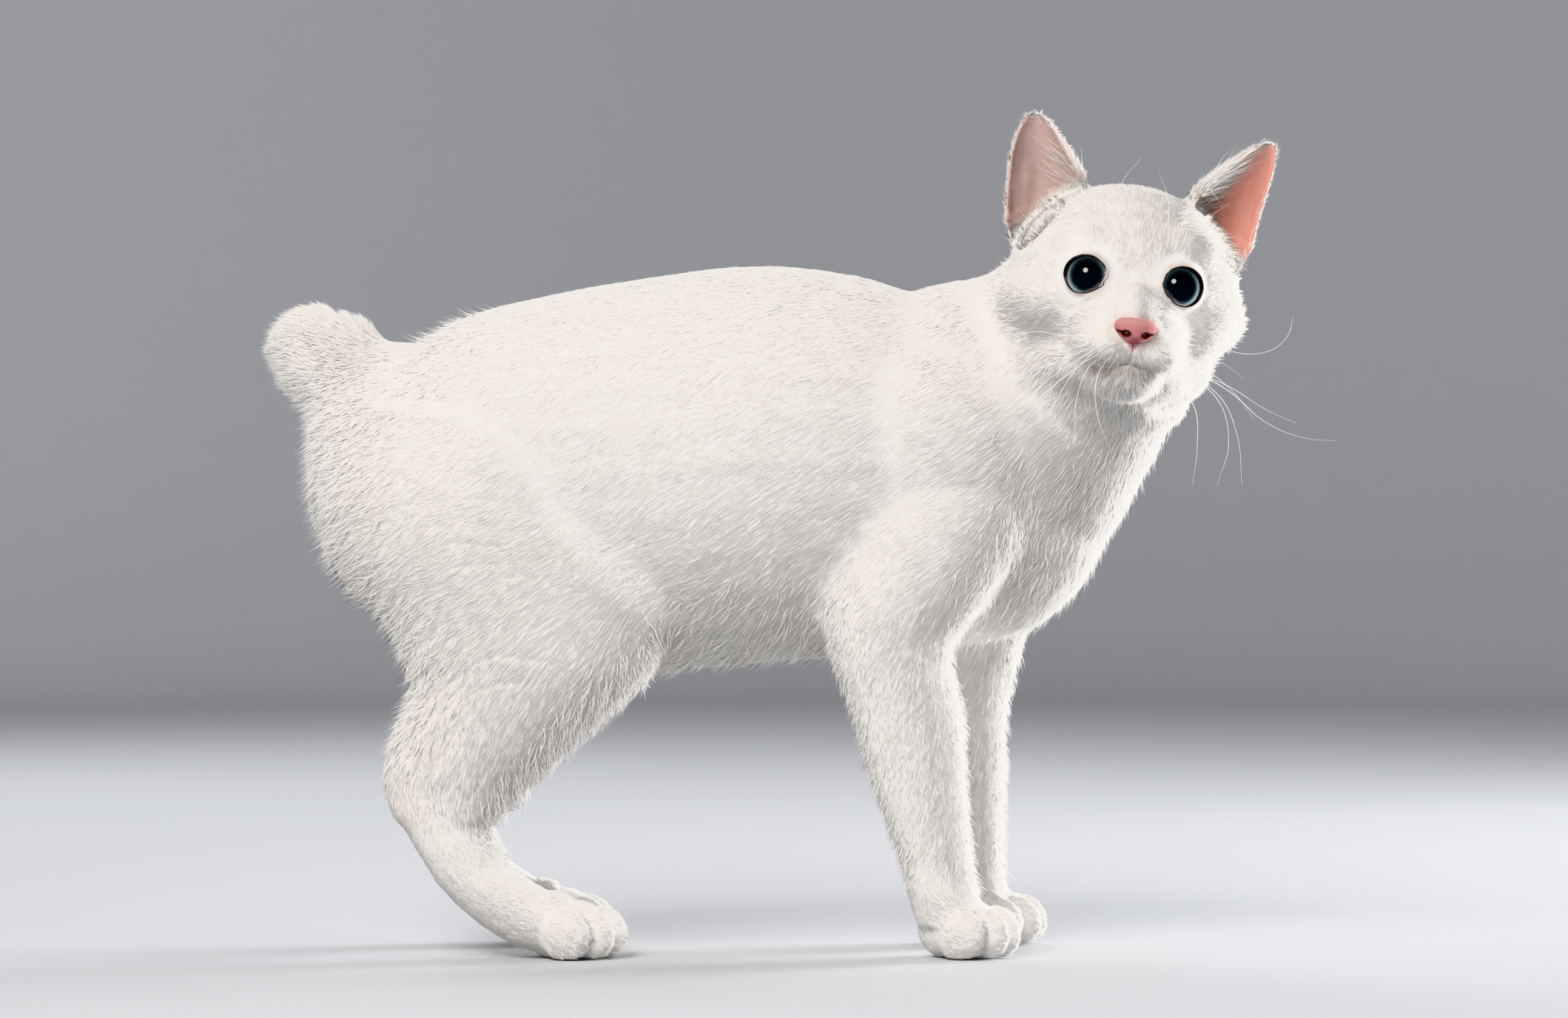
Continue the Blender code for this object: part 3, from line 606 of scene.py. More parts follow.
def skinMaterial(name, s):
    # damp bare skin: its tint with fine pebbles
    material, tree, shader = newMaterial(name)
    coords = addNode(tree, "TexCoord")
    pebbles = addNode(tree, "TexVoronoi",
                      {"Vector": coords.outputs["Object"], "Scale": s["pebbles"]})
    bump = addNode(tree, "Bump",
                   {"Height": pebbles.outputs["Distance"], "Strength": 0.35, "Distance": 0.0003})
    tint = addNode(tree, "Attribute", attribute_name="tint")
    setInputs(tree, shader, {"Base Color": tint.outputs["Color"], "Normal": bump.outputs["Normal"],
                             "Roughness": s["roughness"]})
    return material


def speckledMaterial(name, s):
    # from a dark to a light colour, in fine specks
    material, tree, shader = newMaterial(name)
    coords = addNode(tree, "TexCoord")
    specks = addNode(tree, "TexNoise", {"Vector": coords.outputs["Object"], "Scale": s["specks"]})
    colour = addRamp(tree, ((0.0, s["dark"]), (1.0, s["light"])), specks.outputs["Fac"])
    setInputs(tree, shader, {"Base Color": colour.outputs["Color"], "Roughness": s["roughness"],
                             "Sheen Weight": s["sheen"]})
    return material


underFur = furMaterial("underFur", {"across": 1500, "along": 160, "patch": 0.05, "bump": 0.35,
                                    "bumpHigh": 0.0006, "roughness": 0.75, "specular": 0.25, "sheen": 0.10})
topFur = furMaterial("topFur", {"across": 1500, "along": 200, "patch": 0.05, "bump": 0.15,
                                "bumpHigh": 0.0003, "roughness": 0.60, "specular": 0.30, "sheen": 0.15})

# between the tufts the skin is a little darker than they are
saveTint(skin.data, tintAt(skinPoints, skinNormals, skinHollow) * 0.90)
editMesh(skin, (bpy.ops.uv.smart_project, {"angle_limit": math.radians(66), "island_margin": 0.002}))
skin.data.uv_layers[0].name = "OFBake"
finishPiece(skin, underFur, "fur", *fleshNodes)
skinTree = treeOf(skin.data)
print("skin unwrapped")


noseTip = np.array((0.0, -0.056, -0.019))


def lieAt(normals, r):
    # the way the hair lies
    z = r.q[:, 2]
    lie = vectors(-1.0, 0.0, -0.30 - 0.30 * ramp(np.abs(normals[:, 1]), 0.3, 0.9))
    frontEdge = ramp(normals[:, 0], 0.25, 0.8) * fade(z, 0.10, 0.15) * ramp(z, 0.03, 0.05)
    for way, share in (((-0.85, 0.0, -0.50), r.hind * fade(z, 0.13, 0.22)),
                       ((-0.50, 0.0, -0.87), r.hind * fade(z, 0.08, 0.15)),
                       ((-0.05, 0.0, -1.00), r.hind * fade(z, 0.055, 0.100)),
                       ((0.65, 0.0, -0.76), r.hind * fade(z, 0.035, 0.062)),
                       ((-0.25, 0.0, -1.0), (1 - r.hind) * fade(z, 0.10, 0.18)),
                       ((0.45, 0.0, -0.9), 0.8 * frontEdge),
                       ((-0.35, 0.0, -1.0), r.chest),
                       ((-0.75, 0.15, -0.75), r.neck * (1 - r.chest)),
                       ((1.0, 0.0, -0.30), r.paw)):
        lie = mixIn(lie, way, share)
    lie = mixIn(lie, unit(r.q - (-0.150, 0.0, 0.203)) + (-0.3, 0, -0.5), r.tail)
    away = unit(r.h - noseTip) + (0, 0.35, 0.0)
    away[:, 2] += 0.30 * ramp(r.h[:, 2], -0.01, 0.02)
    away[:, 2] -= 0.9 * r.chin
    around = (fade(r.eye, 0.009, 0.020) * (r.eye < 0.9))[:, None]
    away = away * (1 - around) + r.eyeWay * (0.9 * around) + away * (0.4 * around)
    lie = mixIn(lie, unit(away) @ headTurn, r.head)
    lie = mixIn(lie, unit(vectors(r.side * 0.25, 0.1, 1.0)) @ headTurn, r.ear)
    lie = lie - (lie * normals).sum(1, keepdims=True) * normals
    return unit(lie)


coat = {
    # part: tufts per square mm, length, width, lift in degrees; each part is mixed in over those above it
    "torso": (0.98, 0.0068, 0.00048, 3.5),
    "neck": (1.42, 0.0062, 0.00042, 7.0),
    "foreleg": (1.45, 0.0042, 0.00038, 6.0),
    "hindleg": (1.40, 0.0040, 0.00039, 5.0),
    "thigh": (1.35, 0.0062, 0.00043, 6.5),
    "paw": (2.20, 0.0026, 0.00032, 7.0),
    "tail": (2.10, 0.0064, 0.00040, 15.0),
    "head": (3.00, 0.0040, 0.00028, 8.0),
    "muzzle": (5.00, 0.0022, 0.00021, 12.0),
    "ear": (2.40, 0.0024, 0.00026, 7.0),
}


def coatNumbers(r):
    numbers = rowsOf(coat["torso"], len(r.q))
    for name in list(coat)[1:]:
        numbers = mixIn(numbers, coat[name], getattr(r, name))
    numbers[:, 3] += 5 * r.belly + 5 * r.chest + 5 * r.rump + 8 * r.chin
    numbers[:, 1] += 0.0015 * r.chin
    close = fade(r.eye, 0.009, 0.015)
    numbers[:, 0] *= 1 + 1.2 * close
    numbers[:, 1] *= 1 - 0.45 * close
    return numbers


def meshFromArrays(name, verts, faces, uv):
    mesh = bpy.data.meshes.new(name)
    mesh.vertices.add(len(verts))
    mesh.vertices.foreach_set("co", verts.astype(np.float32).ravel())
    mesh.loops.add(faces.size)
    mesh.loops.foreach_set("vertex_index", faces.astype(np.int32).ravel())
    mesh.polygons.add(len(faces))
    mesh.polygons.foreach_set("loop_start", np.arange(0, faces.size, 3, dtype=np.int32))
    layer = mesh.uv_layers.new(name="OFBake")
    layer.uv.foreach_set("vector", uv.astype(np.float32)[faces.ravel()].ravel())
    mesh.update(calc_edges=True)
    return mesh


tufts = {
    "most": 49500,  # in one piece
    "sunk": 0.00035, "floorGap": 0.0003, "fromEye": 0.0121, "fromFloor": 0.0012,
    "leastTurn": 0.25,  # where the skin's normals would turn a face too far round, it keeps its own
}


def growTufts(name, t, own, bent=False):
    # one closed tapered tuft at each root: 4 triangles straight, 10 where it bends;
    # own is how much its own normals count beside the skin's
    roots, normals, lies, widths, lifts, lengths = t.roots, t.normals, t.lies, t.widths, t.lifts, t.lengths
    count = len(roots)
    wide = np.cross(normals, lies)
    deep = 0.4 * widths
    sunk = roots - normals * tufts["sunk"]
    half = wide * (widths / 2)[:, None]
    base = [sunk + half, sunk - half, sunk + normals * (deep + tufts["sunk"])[:, None]]
    patch = [(-0.0015, 0.0), (0.0015, 0.0), (0.0, 0.0007)]
    shades = [t.rootShade] * 3
    way = lies * np.cos(lifts)[:, None] + normals * np.sin(lifts)[:, None]
    if not bent:
        rings = base + [roots + way * lengths[:, None]]
        patch = patch + [(0.0, 0.003)]
        shades = shades + [t.tipShade]
        faces = [(0, 1, 2), (1, 0, 3), (0, 2, 3), (2, 1, 3)]
    else:
        middle = roots + way * (0.5 * lengths)[:, None]
        half = half * 0.8
        after = lifts + t.bends
        way = lies * np.cos(after)[:, None] + normals * np.sin(after)[:, None]
        rings = base + [middle + half, middle - half, middle + normals * (0.8 * deep)[:, None],
                        middle + way * (0.5 * lengths)[:, None]]
        patch = patch + [(-0.0010, 0.0015), (0.0010, 0.0015), (0.0, 0.002), (0.0, 0.003)]
        shades = shades + [1.0] * 3 + [t.tipShade]
        faces = [(0, 1, 2), (1, 0, 3), (1, 3, 4), (0, 2, 5), (0, 5, 3), (2, 1, 4), (2, 4, 5),
                 (4, 3, 6), (3, 5, 6), (5, 4, 6)]
    verts = np.stack(rings, 1)
    verts[:, :, 2] = np.maximum(verts[:, :, 2], tufts["floorGap"])
    per = verts.shape[1]
    faceRows = (np.arange(count) * per)[:, None, None] + np.array(faces)[None]
    uv = t.uvs[:, None, :] + np.array(patch)[None]
    mesh = meshFromArrays(name, verts.reshape(-1, 3), faceRows.reshape(-1, 3), uv.reshape(-1, 2))
    tints = t.tints[:, None, :] * np.array(shades)[None, :, None]
    saveTint(mesh, np.clip(tints, 0, 0.95).reshape(-1, 3))
    obj = newObject(name, mesh)
    finishPiece(obj, topFur, t.slot)
    ownNormals = normalsOf(mesh).reshape(count, per, 3)
    soft = unit(ownNormals * own + normals[:, None, :])
    turned = (soft * ownNormals).sum(2, keepdims=True) < tufts["leastTurn"]
    soft = np.where(turned, ownNormals, soft)
    mesh.normals_split_custom_set_from_vertices(soft.reshape(-1, 3).astype(np.float32))
    return len(mesh.polygons)


def skinTriangles():
    mesh = skin.data
    corners = np.empty(len(mesh.loops), np.int32)
    mesh.loops.foreach_get("vertex_index", corners)
    uv = np.empty(len(mesh.loops) * 2, np.float32)
    mesh.uv_layers["OFBake"].uv.foreach_get("vector", uv)
    return corners.reshape(-1, 3), uv.reshape(-1, 3, 2).astype(float)


triangles, triangleUv = skinTriangles()
corner = skinPoints[triangles]
areas = sizeOf(np.cross(corner[:, 1] - corner[:, 0], corner[:, 2] - corner[:, 0])) / 2
centres = corner.mean(1)
centreNormals = unit(skinNormals[triangles].mean(1))
centreRegions = regions(centres, centreNormals)
centreNumbers = coatNumbers(centreRegions)
# inside the sockets and close above the floor nothing grows
buried = np.zeros(len(centres), bool)
for middle in eyeMiddles.values():
    buried |= sizeOf(centres - middle) < tufts["fromEye"]
buried |= centres[:, 2] < tufts["fromFloor"]
print("skin area in square cm", round(areas.sum() * 1e4, 1))


def rootsOn(faces, weights, count):
    # points spread over those triangles of the skin, as even as their weights
    total = np.cumsum(weights)
    at = (np.arange(count) + rng.random(count)) / count * total[-1]
    face = faces[np.minimum(np.searchsorted(total, at), len(faces) - 1)]
    a, b = rng.random(count), rng.random(count)
    flip = a + b > 1
    a, b = np.where(flip, 1 - a, a), np.where(flip, 1 - b, b)
    share = vectors(1 - a - b, a, b)
    return SimpleNamespace(roots=(corner[face] * share[:, :, None]).sum(1),
                           normals=unit((skinNormals[triangles[face]] * share[:, :, None]).sum(1)),
                           hollow=(skinHollow[triangles[face]] * share).sum(1),
                           uvs=(triangleUv[face] * share[:, :, None]).sum(1))


def thinOut(t, keep):
    kept = SimpleNamespace(**{key: value[keep] for key, value in vars(t).items()})
    return kept, regions(kept.roots, kept.normals), kept.roots, kept.normals, len(kept.roots)


def turnAbout(ways, axes, angles):
    return ways * np.cos(angles)[:, None] + np.cross(axes, ways) * np.sin(angles)[:, None]


def partOf(r):
    # which coat piece each triangle of the skin belongs to
    x, y, z = r.q.T
    left = y > 0
    part = np.where(x < -0.095, 0, np.where(x < 0.0, 1, 2)) * 2 + left
    part = np.where(r.neck > 0.6, 6 + left, part)
    legs = z < 0.125
    part = np.where(legs & (x > -0.02), 8 + left, part)
    part = np.where(legs & (x < -0.04), 10 + left, part)
    part = np.where(r.tail > 0.5, 12, part)
    part = np.where(r.head > 0.5, 13 + (r.h[:, 0] > 0), part)
    return np.where(r.ear > 0.5, 15, part)


pairedParts = ("Rump", "Flank", "Shoulder", "Neck", "Foreleg", "Hindleg")
partNames = [f"coat{part}{side}" for part in pairedParts for side in ("Right", "Left")]
partNames += ["coatTail", "coatHeadRight", "coatHeadLeft", "coatEars"]
coatTriangles = 0
parts = partOf(centreRegions)
for index, name in enumerate(partNames):
    faces = np.flatnonzero((parts == index) & ~buried)
    weights = areas[faces] * centreNumbers[faces, 0] * 1e6
    t = rootsOn(faces, weights, min(int(weights.sum()), tufts["most"]))
    r = regions(t.roots, t.normals)
    count = len(t.roots)
    keep = r.eye > 0.0076
    keep &= ~((r.cup > 0.4) & (np.abs(r.across) < 0.97) & (rng.random(count) > 0.08))
    keep &= ~((r.ear * r.earFront > 0.4) & (r.overCup > 0.004) & (rng.random(count) > 0.30))
    keep &= ~((r.paw > 0.5) & (t.hollow > 0.00022))
    keep &= ~((farFromLine(r.h, mouthLine) < 0.0007) & (r.muzzle > 0.3)) & (r.cleft < 0.3)
    t, r, roots, normals, count = thinOut(t, keep)
    numbers = coatNumbers(r)
    turns = 0.12 * waves(roots, 0.022, 10)
    turns = turns + (0.06 + 0.05 * r.thigh + 0.10 * r.head) * waves(roots, 0.006, 11)
    turns = turns + rng.normal(0, 0.10, count)
    t.lies = turnAbout(lieAt(normals, r), normals, turns)
    spread = 0.15 + 0.10 * r.thigh + 0.15 * r.head
    uneven = np.clip(1 + spread * waves(roots, 0.005, 12), 0.3, 2)
    t.lifts = np.radians(numbers[:, 3]) * uneven * rng.uniform(0.6, 1.4, count)
    t.lengths = numbers[:, 1] * rng.uniform(0.7, 1.2, count)
    t.widths = numbers[:, 2] * rng.uniform(0.75, 1.25, count)
    # painted shade along the partings of the thigh
    partingShade = 0.07 * thighLines(r.q) * r.thigh
    t.tints = tintAt(roots, normals, t.hollow) * (rng.uniform(0.94, 1.03, count) - partingShade)[:, None]
    t.rootShade = 0.86 if "Head" in name else 0.88
    t.tipShade = 1.04
    t.slot = "ear" if name == "coatEars" else "fur"
    own = 0.9 if name == "coatEars" else 0.38 if "Head" in name else 0.35
    coatTriangles += growTufts(name, t, own)
    print(name, len(t.roots), "tufts")


# longer bent hairs where the photo shows them standing out at the edges
fringes = {
    # piece: number, length from and to, width, lift, bend in degrees
    "fringeBelly": (2800, 0.0045, 0.0085, 0.00032, 34, -14),
    "fringeThighs": (4800, 0.0050, 0.0100, 0.00031, 32, 8),
    "fringeShanks": (3600, 0.0050, 0.0100, 0.00032, 42, -34),
    "fringeForelegs": (4200, 0.0032, 0.0060, 0.00028, 36, -12),
    "fringeChest": (2800, 0.0045, 0.0080, 0.00030, 30, -8),
    "fringeTail": (3600, 0.0045, 0.0082, 0.00030, 40, 6),
    "fringeJaw": (5200, 0.0028, 0.0056, 0.00021, 32, -6),
    "fringeToes": (500, 0.0020, 0.0038, 0.00022, 22, -10),
}


def fringeWeight(name, r, normals):
    x, z = r.q[:, 0], r.q[:, 2]
    bare = 1 - r.head
    if name == "fringeBelly":
        low = 0.5 * bare * ramp(-normals[:, 2], 0.0, 0.5) * ramp(z, 0.10, 0.11) * fade(z, 0.13, 0.15)
        return r.belly + low
    if name == "fringeThighs":
        back = bare * ramp(-normals[:, 0], 0.1, 0.7) * fade(x, -0.12, -0.10)
        return back * ramp(z, 0.070, 0.088) * (1 - r.tail)
    if name == "fringeShanks":
        front = r.hind * ramp(normals[:, 0] - 0.4 * normals[:, 2], 0.3, 0.9)
        return front * ramp(z, 0.028, 0.045) * fade(z, 0.11, 0.13) * fade(x, -0.04, -0.03)
    if name == "fringeForelegs":
        edge = ramp(np.abs(normals[:, 0]), 0.5, 0.9)
        return (1 - r.hind) * edge * ramp(z, 0.022, 0.035) * fade(z, 0.12, 0.15)
    if name == "fringeChest":
        return r.chest
    if name == "fringeTail":
        return r.tail * ramp(-normals[:, 0] - 0.6 * normals[:, 2], -0.3, 0.5)
    if name == "fringeJaw":
        side = ramp(np.abs(r.n[:, 0]), 0.5, 0.9) * ramp(-r.h[:, 2], -0.012, 0.01) * 0.45
        return (r.chin + side * r.head) * (1 - r.ear)
    return r.paw * ramp(z, 0.010, 0.016) * ramp(normals[:, 2], -0.2, 0.3)


for name, (count, shortest, longest, width, lift, bend) in fringes.items():
    weight = fringeWeight(name, centreRegions, centreNormals) * ~buried
    faces = np.flatnonzero(weight > 0.02)
    t = rootsOn(faces, (areas * weight)[faces], count)
    r = regions(t.roots, t.normals)
    t, r, roots, normals, count = thinOut(t, (r.eye > 0.012) & (farFromLine(r.h, mouthLine) > 0.0012))
    turns = 0.35 * waves(roots, 0.008, 31) + rng.normal(0, 0.22, count)
    t.lies = turnAbout(lieAt(normals, r), normals, turns)
    t.lifts = np.radians(lift * rng.uniform(0.5, 1.35, count))
    t.bends = np.radians(bend * rng.uniform(0.4, 1.6, count))
    t.lengths = rng.uniform(shortest, longest, count) * (1 + 0.15 * waves(roots, 0.010, 32))
    t.widths = width * rng.uniform(0.8, 1.2, count)
    t.tints = tintAt(roots, normals, t.hollow) * rng.uniform(0.98, 1.04, count)[:, None]
    t.rootShade, t.tipShade, t.slot = 0.96, 1.03, "fur"
    coatTriangles += growTufts(name, t, 0.6, bent=True)

# fine hairs at the ears: long ones from the inner edge over the cup, tufts at its foot, a short white edge
earHairs = {
    # piece: number, then from and to: length, width, lift, bend in degrees; last how far they stray
    "earHairs": (460, (0.007, 0.016), (0.00012, 0.00019), (8, 26), (-16, 6), 0.16),
    "earTufts": (700, (0.0050, 0.0090), (0.00018, 0.00027), (8, 32), (-25, 0), 0.18),
    "earEdges": (1500, (0.0012, 0.0030), (0.00013, 0.00022), (10, 40), (-20, 10), 0.15),
}


def earWeight(name, r):
    hz = r.h[:, 2]
    if name == "earHairs":
        facing = ramp(-r.n[:, 1], 0.25, 0.5)  # not the backs of the rims
        inner = r.cup * facing * (r.across < -0.35) * (r.across > -0.90) * fade(hz, 0.042, 0.052)
        return inner * np.where(r.side > 0, 1.0, 0.12)
    if name == "earTufts":
        foot = r.head * ramp(r.overCup, -0.0075, -0.0045) * fade(r.overCup, -0.0002, 0.0010)
        foot = foot * (np.abs(r.across) < 1.0)
        return foot * (r.earFront * ramp(-r.across, -0.7, 0.2) * np.where(r.side > 0, 1.0, 0.15))
    return r.ear * (np.abs(r.across) > 0.84) + r.ear * ramp(hz, 0.053, 0.057)


def earWay(name, r):
    # the way they point, in the head's axes
    if name == "earHairs":
        return vectors(r.side, -0.12, 0.55)
    if name == "earTufts":
        return vectors(r.side * 0.9, 0.1, np.where(r.side > 0, -0.1, 0.7))
    return vectors(r.side * np.sign(r.across) * (np.abs(r.across) > 0.6) * 0.8, 0.0, 0.8)


for name, (count, length, width, lift, bend, stray) in earHairs.items():
    weight = earWeight(name, centreRegions)
    faces = np.flatnonzero(weight > 0.02)
    t = rootsOn(faces, (areas * weight)[faces], count)
    way = earWay(name, regions(t.roots, t.normals)) @ headTurn + rng.normal(0, stray, (count, 3))
    t.lies = unit(way - (way * t.normals).sum(1, keepdims=True) * t.normals)
    t.lifts = np.radians(rng.uniform(*lift, count))
    t.bends = np.radians(rng.uniform(*bend, count))
    t.widths = rng.uniform(*width, count)
    t.lengths = rng.uniform(*length, count)
    t.tints = rowsOf(colours["furHead"], count)
    t.rootShade, t.tipShade, t.slot = 0.92, 1.03, "ear"
    coatTriangles += growTufts(name, t, 1.2 if name == "earTufts" else 4.0, bent=True)
print("coat in all", coatTriangles)


# eyes
sensor = 36.0
camera = {
    "place": (0.0047, -1.9857, 0.167), "sensor": sensor,
    "lens": sensor * 7143 / 2119,  # its distance to the picture and the picture's width, both in pixels
}


def eyeMaterial(name, middle, gaze, s):
    material, tree, shader = newMaterial(name)
    move = facing(gaze).inverted() @ Matrix.Translation(-Vector(middle))
    coords = addNode(tree, "TexCoord")
    mapping = addNode(tree, "Mapping", {"Vector": coords.outputs["Object"],
                                                  "Location": move.to_translation(),
                                                  "Rotation": move.to_euler()})
    flat = addNode(tree, "VectorMath", {0: mapping.outputs[0], 1: (1, 1, 0)}, operation="MULTIPLY")
    away = addNode(tree, "VectorMath", {0: flat.outputs[0]}, operation="LENGTH")
    share = addNode(tree, "Math", {0: away.outputs["Value"], 1: s["radius"]}, operation="DIVIDE")
    pupil, iris = s["pupil"] / s["radius"], s["iris"] / s["radius"]
    stops = ((0.0, "black"), (pupil - 0.03, "black"), (pupil + 0.05, "irisInner"),
             (pupil + 0.13, "irisOuter"), (iris - 0.03, "irisOuter"), (iris + 0.01, "edge"), (1.0, "edge"))
    ring = addRamp(tree, [(at, s[colour]) for at, colour in stops], share.outputs[0])
    # fibres that run out from the pupil, and the shade of the upper lid
    spoke = addNode(tree, "VectorMath", {0: flat.outputs[0]}, operation="NORMALIZE")
    fibres = addNode(tree, "TexNoise", {"Vector": spoke.outputs[0], "Scale": 14})
    height = addNode(tree, "SeparateXYZ", {0: mapping.outputs[0]})
    lid = addNode(tree, "MapRange", {"Value": height.outputs["Y"], "From Min": -0.007,
                                               "From Max": 0.006, "To Min": 1.3, "To Max": 0.12})
    strength = addNode(tree, "Math", {0: fibres.outputs["Fac"], 1: lid.outputs[0], 2: lid.outputs[0]},
                       operation="MULTIPLY_ADD")
    shade = addNode(tree, "VectorMath", {0: ring.outputs["Color"], "Scale": strength.outputs[0]},
                    operation="SCALE")
    setInputs(tree, shader, {"Base Color": shade.outputs[0], "Roughness": 0.05, "Coat Weight": 1.0,
                             "Coat Roughness": 0.02})
    return material


# the dark lid edge: partly its own colour, partly painted shadow between lid and eyeball
lidRimAndShadow = speckledMaterial("lidRimAndShadow", {"specks": 700, "dark": (0.018, 0.014, 0.014),
                                     "light": (0.075, 0.050, 0.045), "roughness": 0.35, "sheen": 0.0})


def lidOpening(middle, gaze, across):
    # how far from the middle of the eye the lids begin, for each angle round it
    angles = np.linspace(-math.pi, math.pi, 73)
    found = []
    for angle in angles:
        way = math.cos(angle) * across + math.sin(angle) * np.array((0.0, 0.0, 1.0))
        near, far = 0.004, 0.011
        for _ in range(9):
            half = (near + far) / 2
            place = outOfHead(inHead(middle) + half * way + 0.03 * gaze)
            hit = skinTree.ray_cast(Vector(place), Vector(-gaze @ headTurn), 0.0245)[0]
            near, far = (near, half) if hit is not None else (half, far)
        found.append(near)
    found = np.array(found)
    found[-1] = found[0]
    for _ in range(4):
        found[1:-1] = (found[:-2] + 2 * found[1:-1] + found[2:]) / 4
    print("lids", (found * 1000).round(2)[::9])
    return angles, found


def buildEye(word, side, s):
    middle = eyeMiddles[word]
    across = towardsNose(side)
    ball = middle - across @ headTurn * s["aside"]  # the eyeball's own middle
    deselectAll()
    bpy.ops.mesh.primitive_uv_sphere_add(segments=64, ring_count=40, radius=s["radius"], location=(0, 0, 0))
    obj = bpy.context.object
    obj.name = "eyeball" + word.capitalize()
    gaze = unit(np.array(camera["place"]) - ball)
    lean = math.radians(side * s["outward"][word])
    gaze = unit(gaze * math.cos(lean) + headX * math.sin(lean) + headZ * math.sin(math.radians(s["up"])))
    points = pointsOf(obj.data)
    bulge = ramp(points[:, 2] / s["radius"], 0.55, 1.0)  # the clear front of the eye stands out a little
    points += unit(points) * (s["bulge"] * bulge)[:, None]
    setPoints(obj.data, points)
    obj.data.transform(Matrix.Translation(ball) @ facing(gaze))
    finishPiece(obj, eyeMaterial(obj.name + "Look", ball, gaze, s), "eye", f"eye_{word}")
    # the dark edge of the lids, with the shadow between lid and eyeball painted into it: a thin ring bent
    # round the eyeball, with a point at the inner corner;
    # from x towards the nose, y up, z along the gaze of the lids, to the room
    gazeIn = lidGaze(side)
    bpy.ops.mesh.primitive_torus_add(major_segments=96, minor_segments=10, major_radius=1.0, minor_radius=0.1)
    ring = bpy.context.object
    ring.name = "lidEdge" + word.capitalize()
    p = pointsOf(ring.data)
    angle = np.arctan2(p[:, 1], p[:, 0])
    out = (np.hypot(p[:, 0], p[:, 1]) - 1) / 0.1
    high = p[:, 2] / 0.1
    inner = np.exp(-((angle - math.radians(-28)) / 0.20) ** 2)  # low on the side of the nose
    opening = lidOpening(middle, gazeIn, across)
    reach = np.interp(angle, opening[0], opening[1]) + s["corner"] * inner
    thick = s["rimThick"] * (1 + 0.5 * inner)
    x, y = reach * np.cos(angle) + s["aside"], reach * np.sin(angle)
    z = np.sqrt(np.maximum(s["radius"] ** 2 - x ** 2 - y ** 2, 1e-8)) + 0.00012
    on = vectors(x, y, z)
    on = on + unit(vectors(x, y, 0)) * (out * thick)[:, None] + unit(on) * (high * thick)[:, None]
    setPoints(ring.data, outOfHead(inHead(ball) + on @ np.array((across, (0.0, 0.0, 1.0), gazeIn))))
    editMesh(ring, (bpy.ops.mesh.normals_make_consistent, {"inside": False}))
    finishPiece(ring, lidRimAndShadow, "eye")


for side, word in sides:
    buildEye(word, side, eye)
print("eyes")


# nose and lips
# the nose's colours: top and low are partly its own colour, partly painted light and painted shade; nostril
# is painted shade
noseSettings = {"voxel": 0.00030, "rounds": 4, "grow": 0.00010, "colour": (0.47, 0.185, 0.18),
                "top": (0.55, 0.275, 0.25), "low": (0.27, 0.07, 0.085), "nostril": (0.085, 0.012, 0.012)}
noseSkin = skinMaterial("noseSkin", {"pebbles": 1800, "roughness": 0.60})
lipSkin = skinMaterial("lipSkin", {"pebbles": 2600, "roughness": 0.55})


def buildNose(s):
    obj = copyOfNode("nose", "noseLeather")
    addModifier(obj, "REMESH", mode="VOXEL", voxel_size=s["voxel"])
    addModifier(obj, "SMOOTH", iterations=s["rounds"])
    addModifier(obj, "DISPLACE", strength=s["grow"], mid_level=0)
    applyAll(obj)
    points = pointsOf(obj.data)
    h = inHead(points)
    tints = rowsOf(s["colour"], len(points))
    # lighter towards the top and darkest low in the middle: partly the leather's own colour, partly painted
    # light on top and painted shade beneath
    tints = mixIn(tints, s["top"], ramp(h[:, 2], -0.0190, -0.0150))
    lowColourAndShade = ramp(-h[:, 2], 0.0205, 0.0235) * ramp(-np.abs(h[:, 0]), -0.0030, -0.0010)
    tints = mixIn(tints, s["low"], 0.8 * lowColourAndShade)
    for side in (-1, 1):
        # each nostril is a comma of painted shade: a round hole with a slit that runs out and up
        x, z = side * h[:, 0], h[:, 2]
        hole = np.hypot((x - 0.0034) / 0.0017, (z + 0.0208) / 0.0012)
        slit = np.hypot((x - 0.0052) / 0.0019, (z + 0.0203 - 0.35 * (x - 0.0052)) / 0.0006)
        tints = mixIn(tints, s["nostril"], ramp(1.25 - np.minimum(hole, slit), 0, 0.45) * (x > 0))
    saveTint(obj.data, tints)
    finishPiece(obj, noseSkin, "nose_leather", "nose")


def onFace(x, z):
    # the point of the skin straight behind x, z of the face
    place = outOfHead(np.array((x, -0.09, z)))
    hit = skinTree.ray_cast(Vector(place), Vector(headY))[0]
    return np.array(hit) if hit is not None else outOfHead(np.array((x, -0.05, z)))


def strandPiece(name, rows, thick, sides, steps):
    # closed tapering strands: each row has its points and its radii
    curve = bpy.data.curves.new(name, "CURVE")
    curve.dimensions = "3D"
    curve.bevel_depth = thick
    curve.bevel_resolution = sides
    curve.resolution_u = steps
    curve.use_fill_caps = True
    for points, radii in rows:
        spline = curve.splines.new("BEZIER")
        spline.bezier_points.add(len(points) - 1)
        for knot, place, radius in zip(spline.bezier_points, points, radii):
            knot.co = Vector(place)
            knot.radius = radius
            knot.handle_left_type = knot.handle_right_type = "AUTO"
    obj = newObject(name, curve)
    pick(obj)
    bpy.ops.object.convert(target="MESH")
    obj = bpy.context.object
    editMesh(obj, (bpy.ops.mesh.remove_doubles, {"threshold": 0.000001}),
             (bpy.ops.mesh.normals_make_consistent, {"inside": False}))
    return obj


